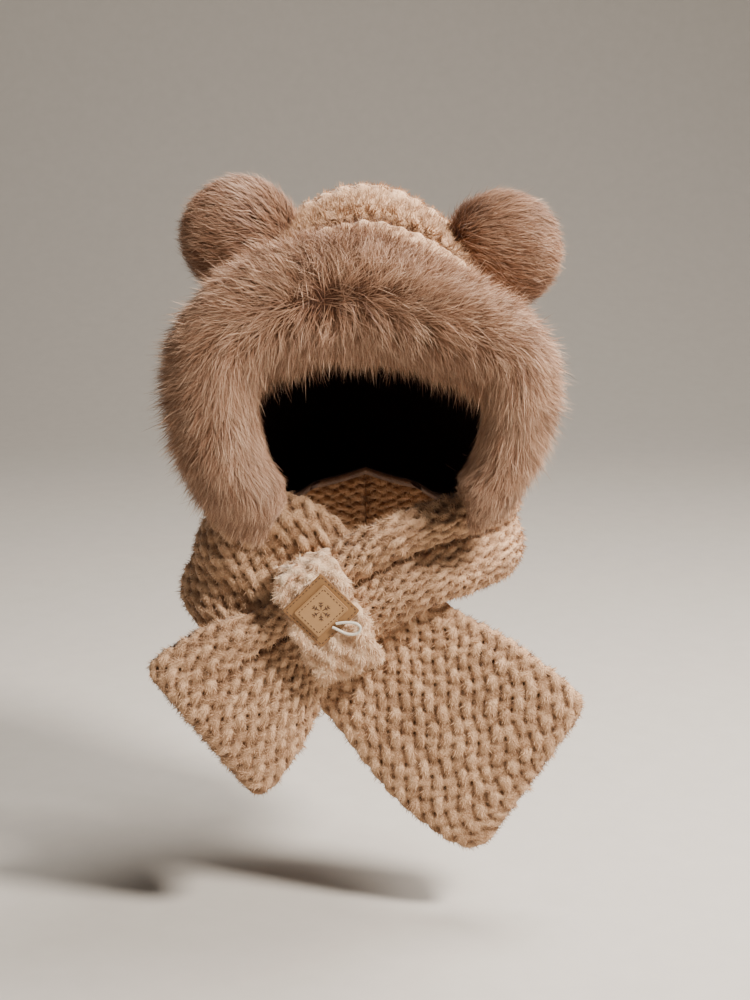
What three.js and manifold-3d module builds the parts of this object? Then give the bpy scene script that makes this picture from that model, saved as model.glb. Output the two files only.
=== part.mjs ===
// Animal hood scarf: a chunky knitted plush hood with a deep fur trim, two round fur ears and a wide
// knitted scarf. The right-hand scarf half passes over the left-hand one and through a plush keeper
// strap that carries a small leather patch with a cord loop. Millimetres, +Z up, the face looks to -Y.
// Left and right are the viewer's. The origin is the underside of the crown, where a head bears.
import * as THREE from 'three';
import { mergeVertices } from 'three/addons/utils/BufferGeometryUtils.js';
import Module from 'manifold-3d';

const wasm = await Module();
wasm.setup();

// Hood
const headWidth = 224;        // inside, across the ears
const headBack = 113;         // inside, ear line to the back of the head
const faceReach = 98;         // ear line to the face rim
const crownRise = 121;        // level of the hood's middle to the inside of the crown
const napeDrop = 160;         // level of the hood's middle to the hem at the nape
const earLineY = 10;          // the ear line behind the origin
const hoodWall = 9;           // knitted plush
const liningWall = 1.6;       // brushed cloth
const foreheadDip = 48;       // fall of the crown from the ear line to the face rim
const crownRoll = 3;          // height of the knit rolls that cross the crown
const hemLap = 31;            // how far the collar's upper edge covers the hem at the nape
const clearance = 0.3;        // between pieces that touch

// Fur trim and ears
const trimWidth = 118;        // pile and backing at the top of the face
const trimDepth = 76;         // front to back
const trimPile = 20;          // pile outside the backing
const lockWidth = 16;         // a lock at its root
const earRadius = 55;         // pile included
const earThickness = 50;
const earPile = 11;

// Scarf
const scarfWidth = 150;       // collar, across the knit
const scarfThickness = 14;    // chunky knitted plush
const rollDepth = 13;         // the upper half, where it is folded into two rolls
const creaseDepth = 9;        // the fold that runs out of the keeper
const gatherHeight = 2;       // the gathers of the lower half under the crossing
const endRounding = 0.6;      // thickness at the tail ends, as a share
const underTailLength = 180;
const underTailWidth = 184;
const upperTailLength = 115;
const upperTailWidth = 170;
const tailLean = 22;          // the tails come forward on the chest

// Keeper, patch and cord
const keeperLength = 104;
const keeperWidth = 61;
const keeperThickness = 12;
const patchSide = 49;
const patchThickness = 1.6;
const topPatchLength = 38;
const topPatchWidth = 32;
const topPatchThickness = 1.4;
const cordDiameter = 2.5;

// Places worked out from the sizes
const shellInner = liningWall + clearance;
const shellOuter = shellInner + hoodWall;
const hoodMiddleZ = -crownRise;
const collarHalf = headWidth / 2 + shellOuter;
const collarBack = headBack + shellOuter;
const hemZ = hoodMiddleZ - napeDrop + hemLap;
const layerStep = scarfThickness + clearance;
const crossingDepth = 0.46;   // of the collar's depth, ear line to the crossing's inner face
const crossingY = earLineY - crossingDepth * collarBack;
const underFrontY = crossingY - scarfThickness;

const furColor = 0xb08c76;
const knitColor = 0xd5b89b;

// A number between 0 and 1 that depends only on its arguments.
function scatter(a, b, c = 0) {
  const value = Math.sin(a * 12.9898 + b * 78.233 + c * 37.719) * 43758.5453;
  return value - Math.floor(value);
}

// Value of a table's column at a share of its rows, with straight steps between rows.
function column(rows, name, share) {
  const place = Math.min(Math.max(share, 0), 1) * (rows.length - 1);
  const low = Math.min(Math.floor(place), rows.length - 2);
  return THREE.MathUtils.lerp(rows[low][name], rows[low + 1][name], place - low);
}

// Closed skin over rings of points. Each end is closed by a ladder from one side to the other. From
// the ring that turns back, the squares are split the other way, so that nested walls stay parallel.
function skin(rings, turnBack = rings.length) {
  const count = rings[0].length;
  const positions = rings.flat().flatMap((point) => [point.x, point.y, point.z]);
  const faces = [];
  for (let ring = 0; ring < rings.length - 1; ring += 1) {
    for (let step = 0; step < count; step += 1) {
      const a = ring * count + step;
      const b = ring * count + (step + 1) % count;
      if (ring < turnBack) faces.push(a, b, b + count, a, b + count, a + count);
      else faces.push(a, b, a + count, b, b + count, a + count);
    }
  }
  const end = (rings.length - 1) * count;
  for (let step = 0; step < count / 2 - 1; step += 1) {
    const far = count - 1 - step;
    faces.push(step, far, far - 1, step, far - 1, step + 1);
    faces.push(end + step, end + far - 1, end + far, end + step, end + step + 1, end + far - 1);
  }
  const geometry = new THREE.BufferGeometry();
  geometry.setAttribute('position', new THREE.Float32BufferAttribute(positions, 3));
  geometry.setIndex(volume(positions, faces) < 0 ? faces.reverse() : faces);
  return geometry;
}

function volume(positions, faces) {
  const corner = (index) => new THREE.Vector3().fromArray(positions, index * 3);
  let sum = 0;
  for (let face = 0; face < faces.length; face += 3) {
    const [a, b, c] = [corner(faces[face]), corner(faces[face + 1]), corner(faces[face + 2])];
    sum += a.dot(b.cross(c));
  }
  return sum;
}

function solidOf(geometry) {
  const plain = geometry.clone();
  plain.deleteAttribute('normal');
  plain.deleteAttribute('uv');
  const merged = mergeVertices(plain, 1e-4);
  const vertProperties = new Float32Array(merged.attributes.position.array);
  const triVerts = new Uint32Array(merged.index.array);
  return new wasm.Manifold(new wasm.Mesh({ numProp: 3, vertProperties, triVerts }));
}

// The largest body of a solid, as a geometry. Tips that a neighbour cuts off fall away.
function geometryOf(solid) {
  const bodies = solid.decompose().sort((a, b) => b.volume() - a.volume());
  const mesh = bodies[0].getMesh();
  const geometry = new THREE.BufferGeometry();
  geometry.setAttribute('position', new THREE.Float32BufferAttribute(mesh.vertProperties, 3));
  geometry.setIndex(new THREE.Uint32BufferAttribute(mesh.triVerts, 1));
  return geometry;
}

function cutBy(solid, neighbours) {
  return neighbours.reduce((rest, neighbour) => rest.subtract(neighbour), solid);
}

// Hood: a bowl that lies on its back. Its pole is at the back of the head, and its rim runs round the
// face and the neck. The turn is 0 at the crown and pi at the nape. The reach is 0 at the pole, 1 at
// the ear line and 2 at the face rim.
const hemReach = [
  { turn: 0, reach: 2 }, { turn: 140, reach: 2 }, { turn: 146, reach: 1.4 }, { turn: 152, reach: 1.05 },
  { turn: 162, reach: 0.76 }, { turn: 180, reach: 0.66 },
];

function rimReach(turn) {
  const degrees = THREE.MathUtils.radToDeg(Math.abs(turn));
  const next = Math.max(1, hemReach.findIndex((row) => row.turn >= degrees));
  const [from, to] = [hemReach[next - 1], hemReach[next]];
  return THREE.MathUtils.mapLinear(degrees, from.turn, to.turn, from.reach, to.reach);
}

function hoodPoint(turn, share, level, lift = 0, grow = 0) {
  const reach = share * rimReach(turn) + (share === 1 ? grow / faceReach : 0);
  const across = Math.sin(turn);
  const up = Math.cos(turn);
  const squareness = up > 0 ? 1.8 : 1.8 + 2.2 * Math.min(1, -up * 2);
  const half = headWidth / 2 + level;
  const height = (up > 0 ? crownRise : napeDrop) + level + lift * Math.max(0, up) ** 3;
  const radius = (Math.abs(across / half) ** squareness + Math.abs(up / height) ** squareness)
    ** (-1 / squareness);
  const swing = Math.min(reach, 1) * Math.PI / 2;
  const forward = Math.max(reach - 1, 0);
  const narrowing = Math.sin(swing) * (1 - 0.04 * forward ** 2);
  const dip = foreheadDip * forward ** 1.7 * Math.max(0, up) ** 1.5;
  return new THREE.Vector3(
    radius * across * narrowing,
    earLineY + (headBack + level) * Math.cos(swing) - faceReach * forward,
    hoodMiddleZ + radius * up * narrowing - dip,
  );
}

// Share of the way from the pole to the rim, and the rolls and creases of the crown.
const crownRings = [
  { share: 0.05, lift: 0 }, { share: 0.13, lift: 0 }, { share: 0.22, lift: 0 }, { share: 0.32, lift: 0 },
  { share: 0.41, lift: 0.2 }, { share: 0.46, lift: 0.7 }, { share: 0.52, lift: -0.5 },
  { share: 0.6, lift: 0.7 }, { share: 0.73, lift: 0.5 }, { share: 0.79, lift: -1.2 },
  { share: 0.84, lift: 0.4 }, { share: 0.93, lift: 0.3 }, { share: 1, lift: 0 },
];
const plainRings = [0.05, 0.16, 0.28, 0.4, 0.52, 0.68, 0.84, 1].map((share) => ({ share, lift: 0 }));
const hoodSides = 36;

function hoodRings(rows, level, grow) {
  return rows.map((row) => Array.from({ length: hoodSides }, (unused, side) => {
    const turn = (side + 0.5) / hoodSides * Math.PI * 2 - Math.PI;
    return hoodPoint(turn, row.share, level, row.lift * crownRoll, grow);
  }));
}

function hoodSkin(rows, outer, inner, grow = 0) {
  const outside = hoodRings(rows, outer + grow, grow);
  const inside = hoodRings(plainRings, inner - grow, grow);
  return skin([...outside, ...inside.reverse()], outside.length);
}

// A tapered lock with three sides and one bend.
function lock(root, rise, flow, length, width) {
  const bend = root.clone().addScaledVector(rise, length * 0.3).addScaledVector(flow, length * 0.3);
  const tip = bend.clone().addScaledVector(flow, length * 0.5);
  const side = new THREE.Vector3().crossVectors(rise, flow).normalize();
  const back = new THREE.Vector3().crossVectors(side, rise).normalize();
  const ring = (centre, radius) => [0, 1, 2].map((corner) => {
    const angle = corner * Math.PI * 2 / 3;
    return centre.clone().addScaledVector(side, Math.cos(angle) * radius)
      .addScaledVector(back, Math.sin(angle) * radius);
  });
  const points = [...ring(root, width / 2), ...ring(bend, width * 0.36), tip];
  const faces = [0, 2, 1, 3, 4, 6, 4, 5, 6, 5, 3, 6];
  for (let corner = 0; corner < 3; corner += 1) {
    const next = (corner + 1) % 3;
    faces.push(corner, next, next + 3, corner, next + 3, corner + 3);
  }
  const positions = points.flatMap((point) => [point.x, point.y, point.z]);
  const geometry = new THREE.BufferGeometry();
  geometry.setAttribute('position', new THREE.Float32BufferAttribute(positions, 3));
  geometry.setIndex(volume(positions, faces) < 0 ? faces.reverse() : faces);
  return geometry;
}

function withLocks(core, locks) {
  return wasm.Manifold.union([solidOf(core), ...locks.map(solidOf)]);
}

// Fur trim, from its left end over the face to its right end. x is a share of the hood's half-width,
// up a share of the crown's rise or the nape's drop, forward and the widths shares of the trim's own.
const trimRows = [
  { x: -0.65, up: -0.9, forward: -0.02, wide: 0.36, deep: 0.6 },
  { x: -0.75, up: -0.84, forward: 0.02, wide: 0.6, deep: 0.86 },
  { x: -0.97, up: -0.64, forward: 0.05, wide: 0.72, deep: 0.95 },
  { x: -1.07, up: -0.32, forward: 0.06, wide: 0.75, deep: 1 },
  { x: -1.03, up: -0.02, forward: 0.06, wide: 0.78, deep: 1 },
  { x: -0.85, up: 0.18, forward: 0.08, wide: 0.86, deep: 1 },
  { x: -0.52, up: 0.36, forward: 0.1, wide: 0.96, deep: 1 },
  { x: -0.06, up: 0.43, forward: 0.12, wide: 1, deep: 1 },
  { x: 0.45, up: 0.28, forward: 0.1, wide: 0.87, deep: 1 },
  { x: 0.86, up: 0.09, forward: 0.08, wide: 0.77, deep: 1 },
  { x: 1.06, up: -0.08, forward: 0.06, wide: 0.66, deep: 1 },
  { x: 1.08, up: -0.34, forward: 0.06, wide: 0.58, deep: 0.98 },
  { x: 0.97, up: -0.63, forward: 0.05, wide: 0.56, deep: 0.92 },
  { x: 0.82, up: -0.8, forward: 0.02, wide: 0.52, deep: 0.84 },
  { x: 0.74, up: -0.84, forward: -0.02, wide: 0.34, deep: 0.6 },
];
const trimStations = 45;
const trimSides = 16;
const fringeStations = 21;

// Rows of fringe locks: where they root and which way they lie over. Angle 0 faces away from the
// opening, 90 to the front and 180 into the opening.
const fringeRows = [
  { angle: 4, over: 1, length: 0.8 }, { angle: 160, over: -1, length: 1 },
];

function trimFrame(share) {
  const points = trimRows.map((row) => new THREE.Vector3(
    row.x * collarHalf,
    earLineY - faceReach - clearance - row.forward * trimDepth,
    hoodMiddleZ + row.up * (row.up > 0 ? crownRise : napeDrop),
  ));
  const path = new THREE.CatmullRomCurve3(points, false, 'catmullrom', 0.5);
  const along = path.getTangent(share);
  return {
    centre: path.getPoint(share),
    outward: new THREE.Vector3(-along.z, 0, along.x).normalize(),
    wide: column(trimRows, 'wide', share) * trimWidth / 2,
    deep: column(trimRows, 'deep', share) * trimDepth / 2,
  };
}

// A point of the trim. Sink is how far it lies inside the tips of the pile.
function trimPoint(frame, angle, sink) {
  const turn = THREE.MathUtils.degToRad(angle);
  return frame.centre.clone()
    .addScaledVector(frame.outward, Math.cos(turn) * (frame.wide - sink))
    .add(new THREE.Vector3(0, -Math.sin(turn) * (frame.deep - sink), 0));
}

function furTrim(neighbours) {
  const rings = Array.from({ length: trimStations }, (unused, station) => {
    const frame = trimFrame(station / (trimStations - 1));
    return Array.from({ length: trimSides }, (none, side) => {
      const lockTop = station % 2 === 0;
      const sink = trimPile * (lockTop ? 0.3 : 0.6) * (0.8 + 0.4 * scatter(station, side));
      return trimPoint(frame, (side + 0.5) * 360 / trimSides, sink);
    });
  });
  const fringe = [];
  for (let station = 0; station < fringeStations; station += 1) {
    fringeRows.forEach((row, number) => {
      const jitter = scatter(station, number) - 0.5;
      const frame = trimFrame((station + 0.5 + jitter * 0.4) / fringeStations);
      const root = trimPoint(frame, row.angle + jitter * 16, trimPile + lockWidth / 3);
      const rise = root.clone().sub(frame.centre).normalize();
      const flow = frame.outward.clone().multiplyScalar(row.over)
        .add(new THREE.Vector3(jitter * 0.5, 0, -0.2)).normalize();
      const length = (trimPile + lockWidth / 3) * row.length * (0.85 + 0.25 * scatter(number, station, 2));
      fringe.push(lock(root, rise, flow, length, lockWidth));
    });
  }
  return cutBy(withLocks(skin(rings), fringe), neighbours);
}

// Ears: round pads of fur on the sides of the crown. Their places are shares of the hood's half-width,
// depth and rise.
const ears = {
  left: { x: -0.89, y: -0.16, up: 0.75 },
  right: { x: 0.98, y: -0.16, up: 0.66 },
};
const earRings = 9;
const earSides = 24;

function ear(place, neighbours) {
  const centre = new THREE.Vector3(place.x * collarHalf, place.y * collarBack,
    hoodMiddleZ + place.up * crownRise);
  const rings = Array.from({ length: earRings }, (unused, ring) => {
    const tilt = (ring + 0.5) / earRings * Math.PI - Math.PI / 2;
    return Array.from({ length: earSides }, (none, side) => {
      const around = side / earSides * Math.PI * 2;
      const lockTop = side % 2 === 0;
      const sink = earPile * (lockTop ? 0.1 : 0.6) * (0.7 + 0.6 * scatter(ring, side, place.x));
      const across = Math.cos(tilt) ** 0.8 * earRadius - sink;
      return centre.clone().add(new THREE.Vector3(
        Math.cos(around) * across,
        Math.sin(tilt) * (earThickness / 2 - sink * 0.4),
        Math.sin(around) * across,
      ));
    });
  });
  return cutBy(solidOf(skin(rings)), neighbours);
}

// Scarf halves. Collar rows run from the middle of the back to the crossing: upper and lower edge of
// the knit's inner face, as shares of the hood's half-width, its depth and the scarf's width, then the
// layer that the half lies on and how far it is rolled.
const underCollar = [
  { upX: 0, upY: 0.67, upZ: 0, lowX: 0, lowY: 0.73, lowZ: 0.63, layer: 0, roll: 0 },
  { upX: -0.34, upY: 0.63, upZ: 0, lowX: -0.4, lowY: 0.69, lowZ: 0.65, layer: 0, roll: 0 },
  { upX: -0.63, upY: 0.49, upZ: 0, lowX: -0.76, lowY: 0.55, lowZ: 0.67, layer: 0, roll: 0 },
  { upX: -0.96, upY: -0.02, upZ: 0.03, lowX: -1.3, lowY: 0.02, lowZ: 0.79, layer: 0, roll: 0 },
  { upX: -0.91, upY: -0.28, upZ: 0.08, lowX: -1.24, lowY: -0.29, lowZ: 0.92, layer: 0, roll: 0 },
  { upX: -0.62, upY: -0.4, upZ: 0.05, lowX: -0.96, lowY: -0.41, lowZ: 1.13, layer: 0, roll: 0 },
  { upX: -0.33, upY: -0.45, upZ: 0.12, lowX: -0.7, lowY: -0.44, lowZ: 1.28, layer: 0, roll: 0 },
  { upX: 0, upY: -0.46, upZ: 0.36, lowX: -0.5, lowY: -0.46, lowZ: 1.37, layer: 0, roll: 0 },
];
const upperCollar = [
  { upX: 0, upY: 0.67, upZ: 0, lowX: 0, lowY: 0.73, lowZ: 0.6, layer: 0, roll: 0 },
  { upX: 0.34, upY: 0.63, upZ: 0, lowX: 0.38, lowY: 0.68, lowZ: 0.6, layer: 0, roll: 0 },
  { upX: 0.63, upY: 0.49, upZ: 0, lowX: 0.72, lowY: 0.53, lowZ: 0.61, layer: 0, roll: 0 },
  { upX: 0.96, upY: -0.02, upZ: 0.01, lowX: 1.02, lowY: 0.02, lowZ: 0.61, layer: 0, roll: 0.4 },
  { upX: 0.91, upY: -0.25, upZ: 0.03, lowX: 0.96, lowY: -0.27, lowZ: 0.63, layer: 0, roll: 0.9 },
  { upX: 0.66, upY: -0.37, upZ: 0.06, lowX: 0.76, lowY: -0.38, lowZ: 0.67, layer: 0.5, roll: 1 },
  { upX: 0.25, upY: -0.46, upZ: 0.14, lowX: 0.5, lowY: -0.46, lowZ: 0.72, layer: 1, roll: 1 },
  { upX: -0.13, upY: -0.46, upZ: 0.29, lowX: 0.2, lowY: -0.46, lowZ: 0.86, layer: 1, roll: 0.9 },
  { upX: -0.41, upY: -0.46, upZ: 0.5, lowX: -0.12, lowY: -0.46, lowZ: 0.99, layer: 1, roll: 0.7 },
];

// Tails, from the crossing to the end: shares of the tail's length and width, and of its lean.
const underTail = {
  rootX: 0.11, rootZ: 1.05, angle: -39, length: underTailLength, width: underTailWidth, layer: 0,
  rows: [
    { upAlong: 0.06, up: 0.4, lowAlong: -0.06, low: -0.41, lean: 0 },
    { upAlong: 0.45, up: 0.47, lowAlong: 0.5, low: -0.53, lean: 0.45 },
    { upAlong: 0.76, up: 0.49, lowAlong: 0.84, low: -0.54, lean: 0.8 },
    { upAlong: 0.95, up: 0.49, lowAlong: 1.05, low: -0.49, lean: 1 },
  ],
};
const upperTail = {
  rootX: -0.5, rootZ: 0.97, angle: 222, length: upperTailLength, width: upperTailWidth, layer: 1,
  rows: [
    { upAlong: -0.05, up: 0.27, lowAlong: 0.05, low: -0.28, lean: 0 },
    { upAlong: 0.4, up: 0.41, lowAlong: 0.5, low: -0.41, lean: 0.4 },
    { upAlong: 0.76, up: 0.47, lowAlong: 0.84, low: -0.47, lean: 0.8 },
    { upAlong: 0.96, up: 0.5, lowAlong: 1.05, low: -0.5, lean: 1 },
  ],
};

function collarPoint(row, edge, side) {
  const gap = row[`${edge}X`] === 0 && row.layer === 0 && row[`${edge}Y`] > 0 ? side * clearance / 2 : 0;
  return new THREE.Vector3(
    row[`${edge}X`] * collarHalf + gap,
    earLineY + row[`${edge}Y`] * collarBack - row.layer * layerStep,
    hemZ - row[`${edge}Z`] * scarfWidth,
  );
}

function tailPoint(tail, row, edge) {
  const angle = THREE.MathUtils.degToRad(tail.angle);
  const along = new THREE.Vector3(Math.cos(angle), 0, Math.sin(angle));
  const across = new THREE.Vector3(-along.z, 0, along.x);
  if (across.z < 0) across.negate();
  return new THREE.Vector3(
    tail.rootX * collarHalf,
    crossingY - tail.layer * layerStep - row.lean * tailLean,
    hemZ - tail.rootZ * scarfWidth,
  ).addScaledVector(along, row[`${edge}Along`] * tail.length)
    .addScaledVector(across, row[edge] * tail.width);
}

function scarfEdges(collar, tail, side) {
  const edge = (name) => new THREE.CatmullRomCurve3([
    ...collar.map((row) => collarPoint(row, name, side)),
    ...tail.rows.map((row) => tailPoint(tail, row, name)),
  ], false, 'catmullrom', 0.5);
  return { upper: edge('up'), lower: edge('low') };
}

const scarfStations = 31;
const scarfPoints = 12;

// Height of the outer face over the inner one, from the upper edge (-1) to the lower edge (1).
function underProfile(place, share) {
  const gather = Math.sin(Math.PI * Math.min(1, share * 1.1)) ** 2;
  return scarfThickness + gatherHeight * gather * Math.cos(place * 9);
}

function upperProfile(place, share) {
  const rows = upperCollar.length - 1 + upperTail.rows.length;
  const row = share * rows;
  const rolled = row < upperCollar.length - 1
    ? column(upperCollar, 'roll', row / (upperCollar.length - 1))
    : Math.max(0, 0.7 - 0.2 * (row - upperCollar.length + 1));
  const fold = -0.15;
  const lobe = place < fold
    ? Math.sin(Math.PI * (place + 1) / (fold + 1))
    : Math.sin(Math.PI * (place - fold) / (1 - fold));
  const tailShare = Math.max(0, row - upperCollar.length + 1) / upperTail.rows.length;
  const crease = Math.sin(Math.PI * Math.min(1, tailShare * 1.3)) * Math.exp(-((place / 0.16) ** 2));
  return scarfThickness + rollDepth * rolled * lobe - creaseDepth * Math.max(0, crease);
}

function scarfHalf(edges, profile, grow = 0) {
  const rings = Array.from({ length: scarfStations }, (unused, station) => {
    const share = station / (scarfStations - 1);
    const upper = edges.upper.getPoint(share);
    const lower = edges.lower.getPoint(share);
    const middle = upper.clone().lerp(lower, 0.5);
    const along = edges.upper.getTangent(share).add(edges.lower.getTangent(share)).normalize();
    const width = lower.clone().sub(upper);
    const outward = new THREE.Vector3().crossVectors(along, width).normalize();
    const facing = new THREE.Vector3(middle.x, middle.y - tailLean, 0);
    if (outward.dot(facing) < 0) outward.negate();
    const last = station === scarfStations - 1;
    const cornered = last ? 0.94 : 1;
    const front = [];
    const back = [];
    for (let step = 0; step < scarfPoints; step += 1) {
      const place = step / (scarfPoints - 1) * 2 - 1;
      const round = 0.45 + 0.55 * Math.sqrt(1 - Math.abs(place) ** 6);
      const full = profile(place, share) * (last ? endRounding : 1);
      const spot = middle.clone().addScaledVector(width, place * cornered * (0.5 + grow / width.length()));
      front.push(spot.clone().addScaledVector(outward, full * (0.5 + 0.5 * round) + grow));
      back.push(spot.addScaledVector(outward, Math.min(full, scarfThickness) * (0.5 - 0.5 * round) - grow));
    }
    return [...front, ...back.reverse()];
  });
  const reach = edges.upper.getTangent(1).multiplyScalar(grow);
  rings[rings.length - 1].forEach((point) => point.add(reach));
  return skin(rings);
}

// Keeper: a plush strap that arches over the upper half and bears on the under half at both ends.
const keeperPlace = { x: -0.27, z: 0.77, angle: -66 };
const keeperRows = [
  { along: -0.5, rise: 0, wide: 0.8 }, { along: -0.49, rise: 0.4, wide: 0.9 },
  { along: -0.43, rise: 0.82, wide: 0.98 }, { along: -0.28, rise: 1, wide: 1.04 },
  { along: 0, rise: 1.04, wide: 1.08 }, { along: 0.28, rise: 1, wide: 1.06 },
  { along: 0.43, rise: 0.82, wide: 1 }, { along: 0.49, rise: 0.4, wide: 0.94 },
  { along: 0.5, rise: 0, wide: 0.84 },
];
const keeperStations = 17;
const keeperPoints = 8;
const keeperPress = 0.8;      // what the keeper leaves of the rolls' depth
const keeperRise = scarfThickness + rollDepth * keeperPress + keeperThickness / 2;

function keeperCentre() {
  return new THREE.Vector3(keeperPlace.x * collarHalf, underFrontY, hemZ - keeperPlace.z * scarfWidth);
}

function keeperLoop(neighbours) {
  const angle = THREE.MathUtils.degToRad(keeperPlace.angle);
  const along = new THREE.Vector3(Math.cos(angle), 0, Math.sin(angle));
  const across = new THREE.Vector3(-along.z, 0, along.x);
  const points = keeperRows.map((row) => keeperCentre()
    .addScaledVector(along, row.along * keeperLength)
    .add(new THREE.Vector3(0, -row.rise * keeperRise, 0)));
  const path = new THREE.CatmullRomCurve3(points, false, 'catmullrom', 0.5);
  const rings = Array.from({ length: keeperStations }, (unused, station) => {
    const share = station / (keeperStations - 1);
    const centre = path.getPoint(share);
    const outward = new THREE.Vector3().crossVectors(path.getTangent(share), across).normalize();
    if (outward.dot(centre.clone().sub(keeperCentre()).setY(-1)) < 0) outward.negate();
    const half = column(keeperRows, 'wide', share) * keeperWidth / 2;
    const front = [];
    const back = [];
    for (let step = 0; step < keeperPoints; step += 1) {
      const place = step / (keeperPoints - 1) * 2 - 1;
      const round = (0.3 + 0.7 * Math.sqrt(1 - Math.abs(place) ** 4)) * keeperThickness / 2;
      const spot = centre.clone().addScaledVector(across, place * half);
      front.push(spot.clone().addScaledVector(outward, round));
      back.push(spot.addScaledVector(outward, -round));
    }
    return [...front, ...back.reverse()];
  });
  return cutBy(solidOf(skin(rings)), neighbours);
}

// Leather squares, flat and upright, on the keeper's front.
const patchPlace = { x: -0.317, z: 0.685 };
const patchCorner = 2;
const patchTurn = THREE.MathUtils.degToRad(45);
const topPatchTurn = THREE.MathUtils.degToRad(44);
const patchBackY = underFrontY - keeperRise * 1.04 - keeperThickness / 2;

function patchCentre() {
  return new THREE.Vector3(patchPlace.x * collarHalf, patchBackY, hemZ - patchPlace.z * scarfWidth);
}

function leather(length, width, thickness, frontY, turn, grow = 0) {
  const corner = patchCorner;
  const shape = new THREE.Shape();
  const [x, z] = [length / 2 + grow, width / 2 + grow];
  shape.moveTo(-x + corner, -z);
  shape.lineTo(x - corner, -z);
  shape.absarc(x - corner, -z + corner, corner, -Math.PI / 2, 0);
  shape.lineTo(x, z - corner);
  shape.absarc(x - corner, z - corner, corner, 0, Math.PI / 2);
  shape.lineTo(-x + corner, z);
  shape.absarc(-x + corner, z - corner, corner, Math.PI / 2, Math.PI);
  shape.lineTo(-x, -z + corner);
  shape.absarc(-x + corner, -z + corner, corner, Math.PI, Math.PI * 1.5);
  const depth = thickness + grow * 2;
  const geometry = new THREE.ExtrudeGeometry(shape, { depth, bevelEnabled: false, curveSegments: 2 });
  geometry.rotateZ(turn);
  geometry.rotateX(Math.PI / 2);
  const centre = patchCentre();
  geometry.translate(centre.x, frontY + depth - grow, centre.z);
  return geometry;
}

const baseFrontY = patchBackY - patchThickness;
const topFrontY = baseFrontY - clearance - topPatchThickness;

// Cord loop: the points of its route from the patch's middle, as shares of the patch's side.
const cordRoute = [
  { x: 0.269, out: 0, z: -0.233 }, { x: 0.37, out: 0.006, z: -0.215 }, { x: 0.5, out: 0.012, z: -0.208 },
  { x: 0.63, out: 0.02, z: -0.222 }, { x: 0.712, out: 0.024, z: -0.296 }, { x: 0.68, out: 0.024, z: -0.394 },
  { x: 0.575, out: 0.02, z: -0.434 }, { x: 0.455, out: 0.012, z: -0.42 },
  { x: 0.335, out: 0.006, z: -0.366 }, { x: 0.202, out: 0, z: -0.298 },
];
const cordSteps = 18;

function cordLoop() {
  const centre = patchCentre();
  const points = cordRoute.map((point) => new THREE.Vector3(
    centre.x + point.x * patchSide,
    baseFrontY - clearance - cordDiameter / 2 - point.out * patchSide,
    centre.z + point.z * patchSide));
  const section = new THREE.Shape();
  for (let side = 0; side < 8; side += 1) {
    const angle = (side + 0.5) * Math.PI / 4;
    const [x, y] = [Math.cos(angle) * cordDiameter / 2, Math.sin(angle) * cordDiameter / 2];
    if (side === 0) section.moveTo(x, y);
    else section.lineTo(x, y);
  }
  const extrudePath = new THREE.CatmullRomCurve3(points);
  return new THREE.ExtrudeGeometry(section, { steps: cordSteps, extrudePath, bevelEnabled: false });
}

const group = new THREE.Group();

function add(name, geometry, color, roughness) {
  const material = new THREE.MeshStandardMaterial({ color, roughness, metalness: 0 });
  const mesh = new THREE.Mesh(geometry, material);
  mesh.name = name;
  group.add(mesh);
}

const underEdges = scarfEdges(underCollar, underTail, -1);
const upperEdges = scarfEdges(upperCollar, upperTail, 1);
const grownHood = solidOf(hoodSkin(crownRings, shellOuter, 0, clearance));
const grownShell = solidOf(hoodSkin(crownRings, shellOuter, shellInner, clearance));
const grownLining = solidOf(hoodSkin(plainRings, liningWall, 0, clearance));
const underScarf = cutBy(solidOf(scarfHalf(underEdges, underProfile)), [grownHood]);
const grownUnder = solidOf(scarfHalf(underEdges, underProfile, clearance));
const upperScarf = cutBy(solidOf(scarfHalf(upperEdges, upperProfile)), [grownHood, grownUnder]);
const grownUpper = solidOf(scarfHalf(upperEdges, upperProfile, clearance));
const grownPatch = solidOf(leather(patchSide, patchSide, patchThickness, baseFrontY, patchTurn, clearance));
const trim = furTrim([grownHood, grownShell, grownLining, grownUnder, grownUpper]);

add('hood_shell', hoodSkin(crownRings, shellOuter, shellInner), knitColor, 0.95);
add('hood_lining', hoodSkin(plainRings, liningWall, 0), 0x1c1112, 0.9);
add('fur_trim', geometryOf(trim), furColor, 0.9);
add('ear_left', geometryOf(ear(ears.left, [grownHood, trim])), furColor, 0.9);
add('ear_right', geometryOf(ear(ears.right, [grownHood, trim])), furColor, 0.9);
add('scarf_left', geometryOf(underScarf), knitColor, 0.95);
add('scarf_right', geometryOf(upperScarf), knitColor, 0.95);
add('keeper_loop', geometryOf(keeperLoop([grownUnder, grownUpper, grownPatch])), 0xcfae93, 0.95);
add('patch_base', leather(patchSide, patchSide, patchThickness, baseFrontY, patchTurn), 0xbe9669, 0.6);
add('patch_top', leather(topPatchLength, topPatchWidth, topPatchThickness, topFrontY, topPatchTurn),
  0xc79e6f, 0.6);
add('cord_loop', cordLoop(), 0xebe1d2, 0.8);

export default group;
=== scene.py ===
# %% [markdown]
# # Animal hood scarf
# A plush knitted hood with a deep fur trim and two round fur ears. A wide knitted scarf hangs from it:
# one half crosses over the other and runs through a plush keeper with a small leather patch.
# Every place and size is that of the packed solids. This script dresses them in their real materials.

# %% The frame and the tools
import math

import bmesh
import bpy
import numpy as np
from mathutils import Matrix, Vector


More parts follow.
